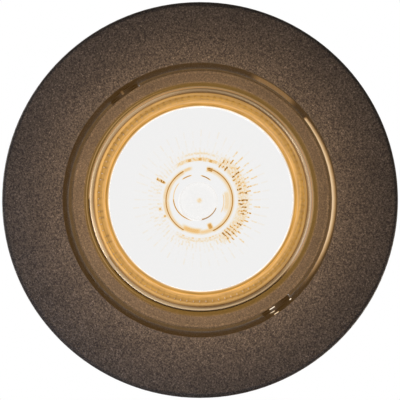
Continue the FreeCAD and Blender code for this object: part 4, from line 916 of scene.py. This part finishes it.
def clip_spring_half(side, hand):
    """One coil with its leg and half of the bar, on the side that X times the hand points to."""
    node = f"clip_spring_{side}"
    mesh = bmesh.new()
    mesh.from_mesh(frame["nodes"][node].data)
    bmesh.ops.remove_doubles(mesh, verts=mesh.verts, dist=0.002 * MM)
    bmesh.ops.bisect_plane(mesh, geom=all_of(mesh), dist=1e-7, plane_co=(0, 0, 0), plane_no=(-hand, 0, 0),
                           clear_outer=True)
    bmesh.ops.holes_fill(mesh, edges=[edge for edge in mesh.edges if edge.is_boundary])
    piece = new_object(f"{node}_{'right' if hand > 0 else 'left'}", mesh, spring_wire_steel)
    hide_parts(node)
    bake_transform(piece)


for side in "ab":
    for hand in (1, -1):
        clip_spring_half(side, hand)

# %% [markdown]
# ## Studio
#
# The photograph has a pure white ground. The world is white to the camera and to reflections, and weaker as
# a light, so that nothing is washed out. A pale floor lies well below the light, behind the camera, and
# shows only in views from above.

# %% World and floor
FLOOR_HEIGHT = -0.75
FLOOR_HALF = 5.0
AMBIENT = 0.10


def seen_directly(tree):
    """One for rays that the eye, a reflection or clear glass sends, and zero for light that falls."""
    rays = add(tree, "LightPath")
    return largest(tree, *[rays.outputs[f"Is {kind} Ray"] for kind in ("Camera", "Glossy", "Transmission")])


scene.world = bpy.data.worlds.new("white_studio")
scene.world.use_nodes = True
air = scene.world.node_tree
set_shader(air.nodes["Background"], Color=WHITE,
           Strength=add(air, "MapRange", [seen_directly(air), 0.0, 1.0, AMBIENT, 1.0]))

ground, ground_tree, matt = new_material("pale_floor", Roughness=0.9, Base_Color=linear("#303030"))
white = add(ground_tree, "Emission", {"Color": WHITE, "Strength": 1.0})
shown = add(ground_tree, "MixShader", [seen_directly(ground_tree), matt, white])
connect(ground_tree, shown, ground_tree.nodes["Material Output"].inputs["Surface"])
floor_mesh = bmesh.new()
bmesh.ops.create_grid(floor_mesh, x_segments=2, y_segments=2, size=FLOOR_HALF)
bmesh.ops.translate(floor_mesh, vec=(0, 0, FLOOR_HEIGHT), verts=floor_mesh.verts)
new_object("floor", floor_mesh, ground)

# %% [markdown]
# ## Lights
#
# The trim is brightest next to the lamp and falls off outwards, as a surface does beside a small near
# light. So a soft warm disc of light hangs just in front of the cover glass, and is seen by nothing but
# what it lights. A small cool softbox at the picture's lower left adds highlights on the wire ring and the
# coat, beside the painted crest line on the wire and the painted glints on the washers. Two large soft
# lights above the ceiling show the mechanism in views from above.

# %% Lights
def soft_disc(name, place, watts, colour, width, unseen_by=()):
    """A round soft light that faces the model's middle, and that the camera doesn't see."""
    data = bpy.data.lights.new(name, "AREA")
    data.shape = "DISK"
    data.energy = watts
    data.color = linear(colour)[:3]
    data.size = width
    light = bpy.data.objects.new(name, data)
    scene.collection.objects.link(light)
    facing = (-Vector(place)).to_track_quat("-Z", "Y").to_matrix().to_4x4()
    light.matrix_world = Matrix.Translation(place) @ facing
    for kind in ("camera", *unseen_by):
        setattr(light, f"visible_{kind}", False)


def in_picture(right_mm, up_mm, front_mm):
    """A place given to the right and up in the picture, and in front of the trim."""
    below = Vector((0, 0, flange_front - front_mm * MM))
    return (picture_right * right_mm + picture_up * up_mm) * MM + below


soft_disc("lamp_glow", in_picture(0, 0, 17), 0.035, "#FFEBCB", 48 * MM, ("glossy", "transmission"))
soft_disc("softbox", in_picture(-46, -39, 120), 0.09, "#BCD3FF", 50 * MM, ("transmission",))
soft_disc("upper_left_light", (-0.35, 0.45, 0.55), 9.0, "#FFFFFF", 0.45)
soft_disc("upper_right_light", (0.55, -0.25, 0.40), 4.0, "#FFF4E6", 0.40)
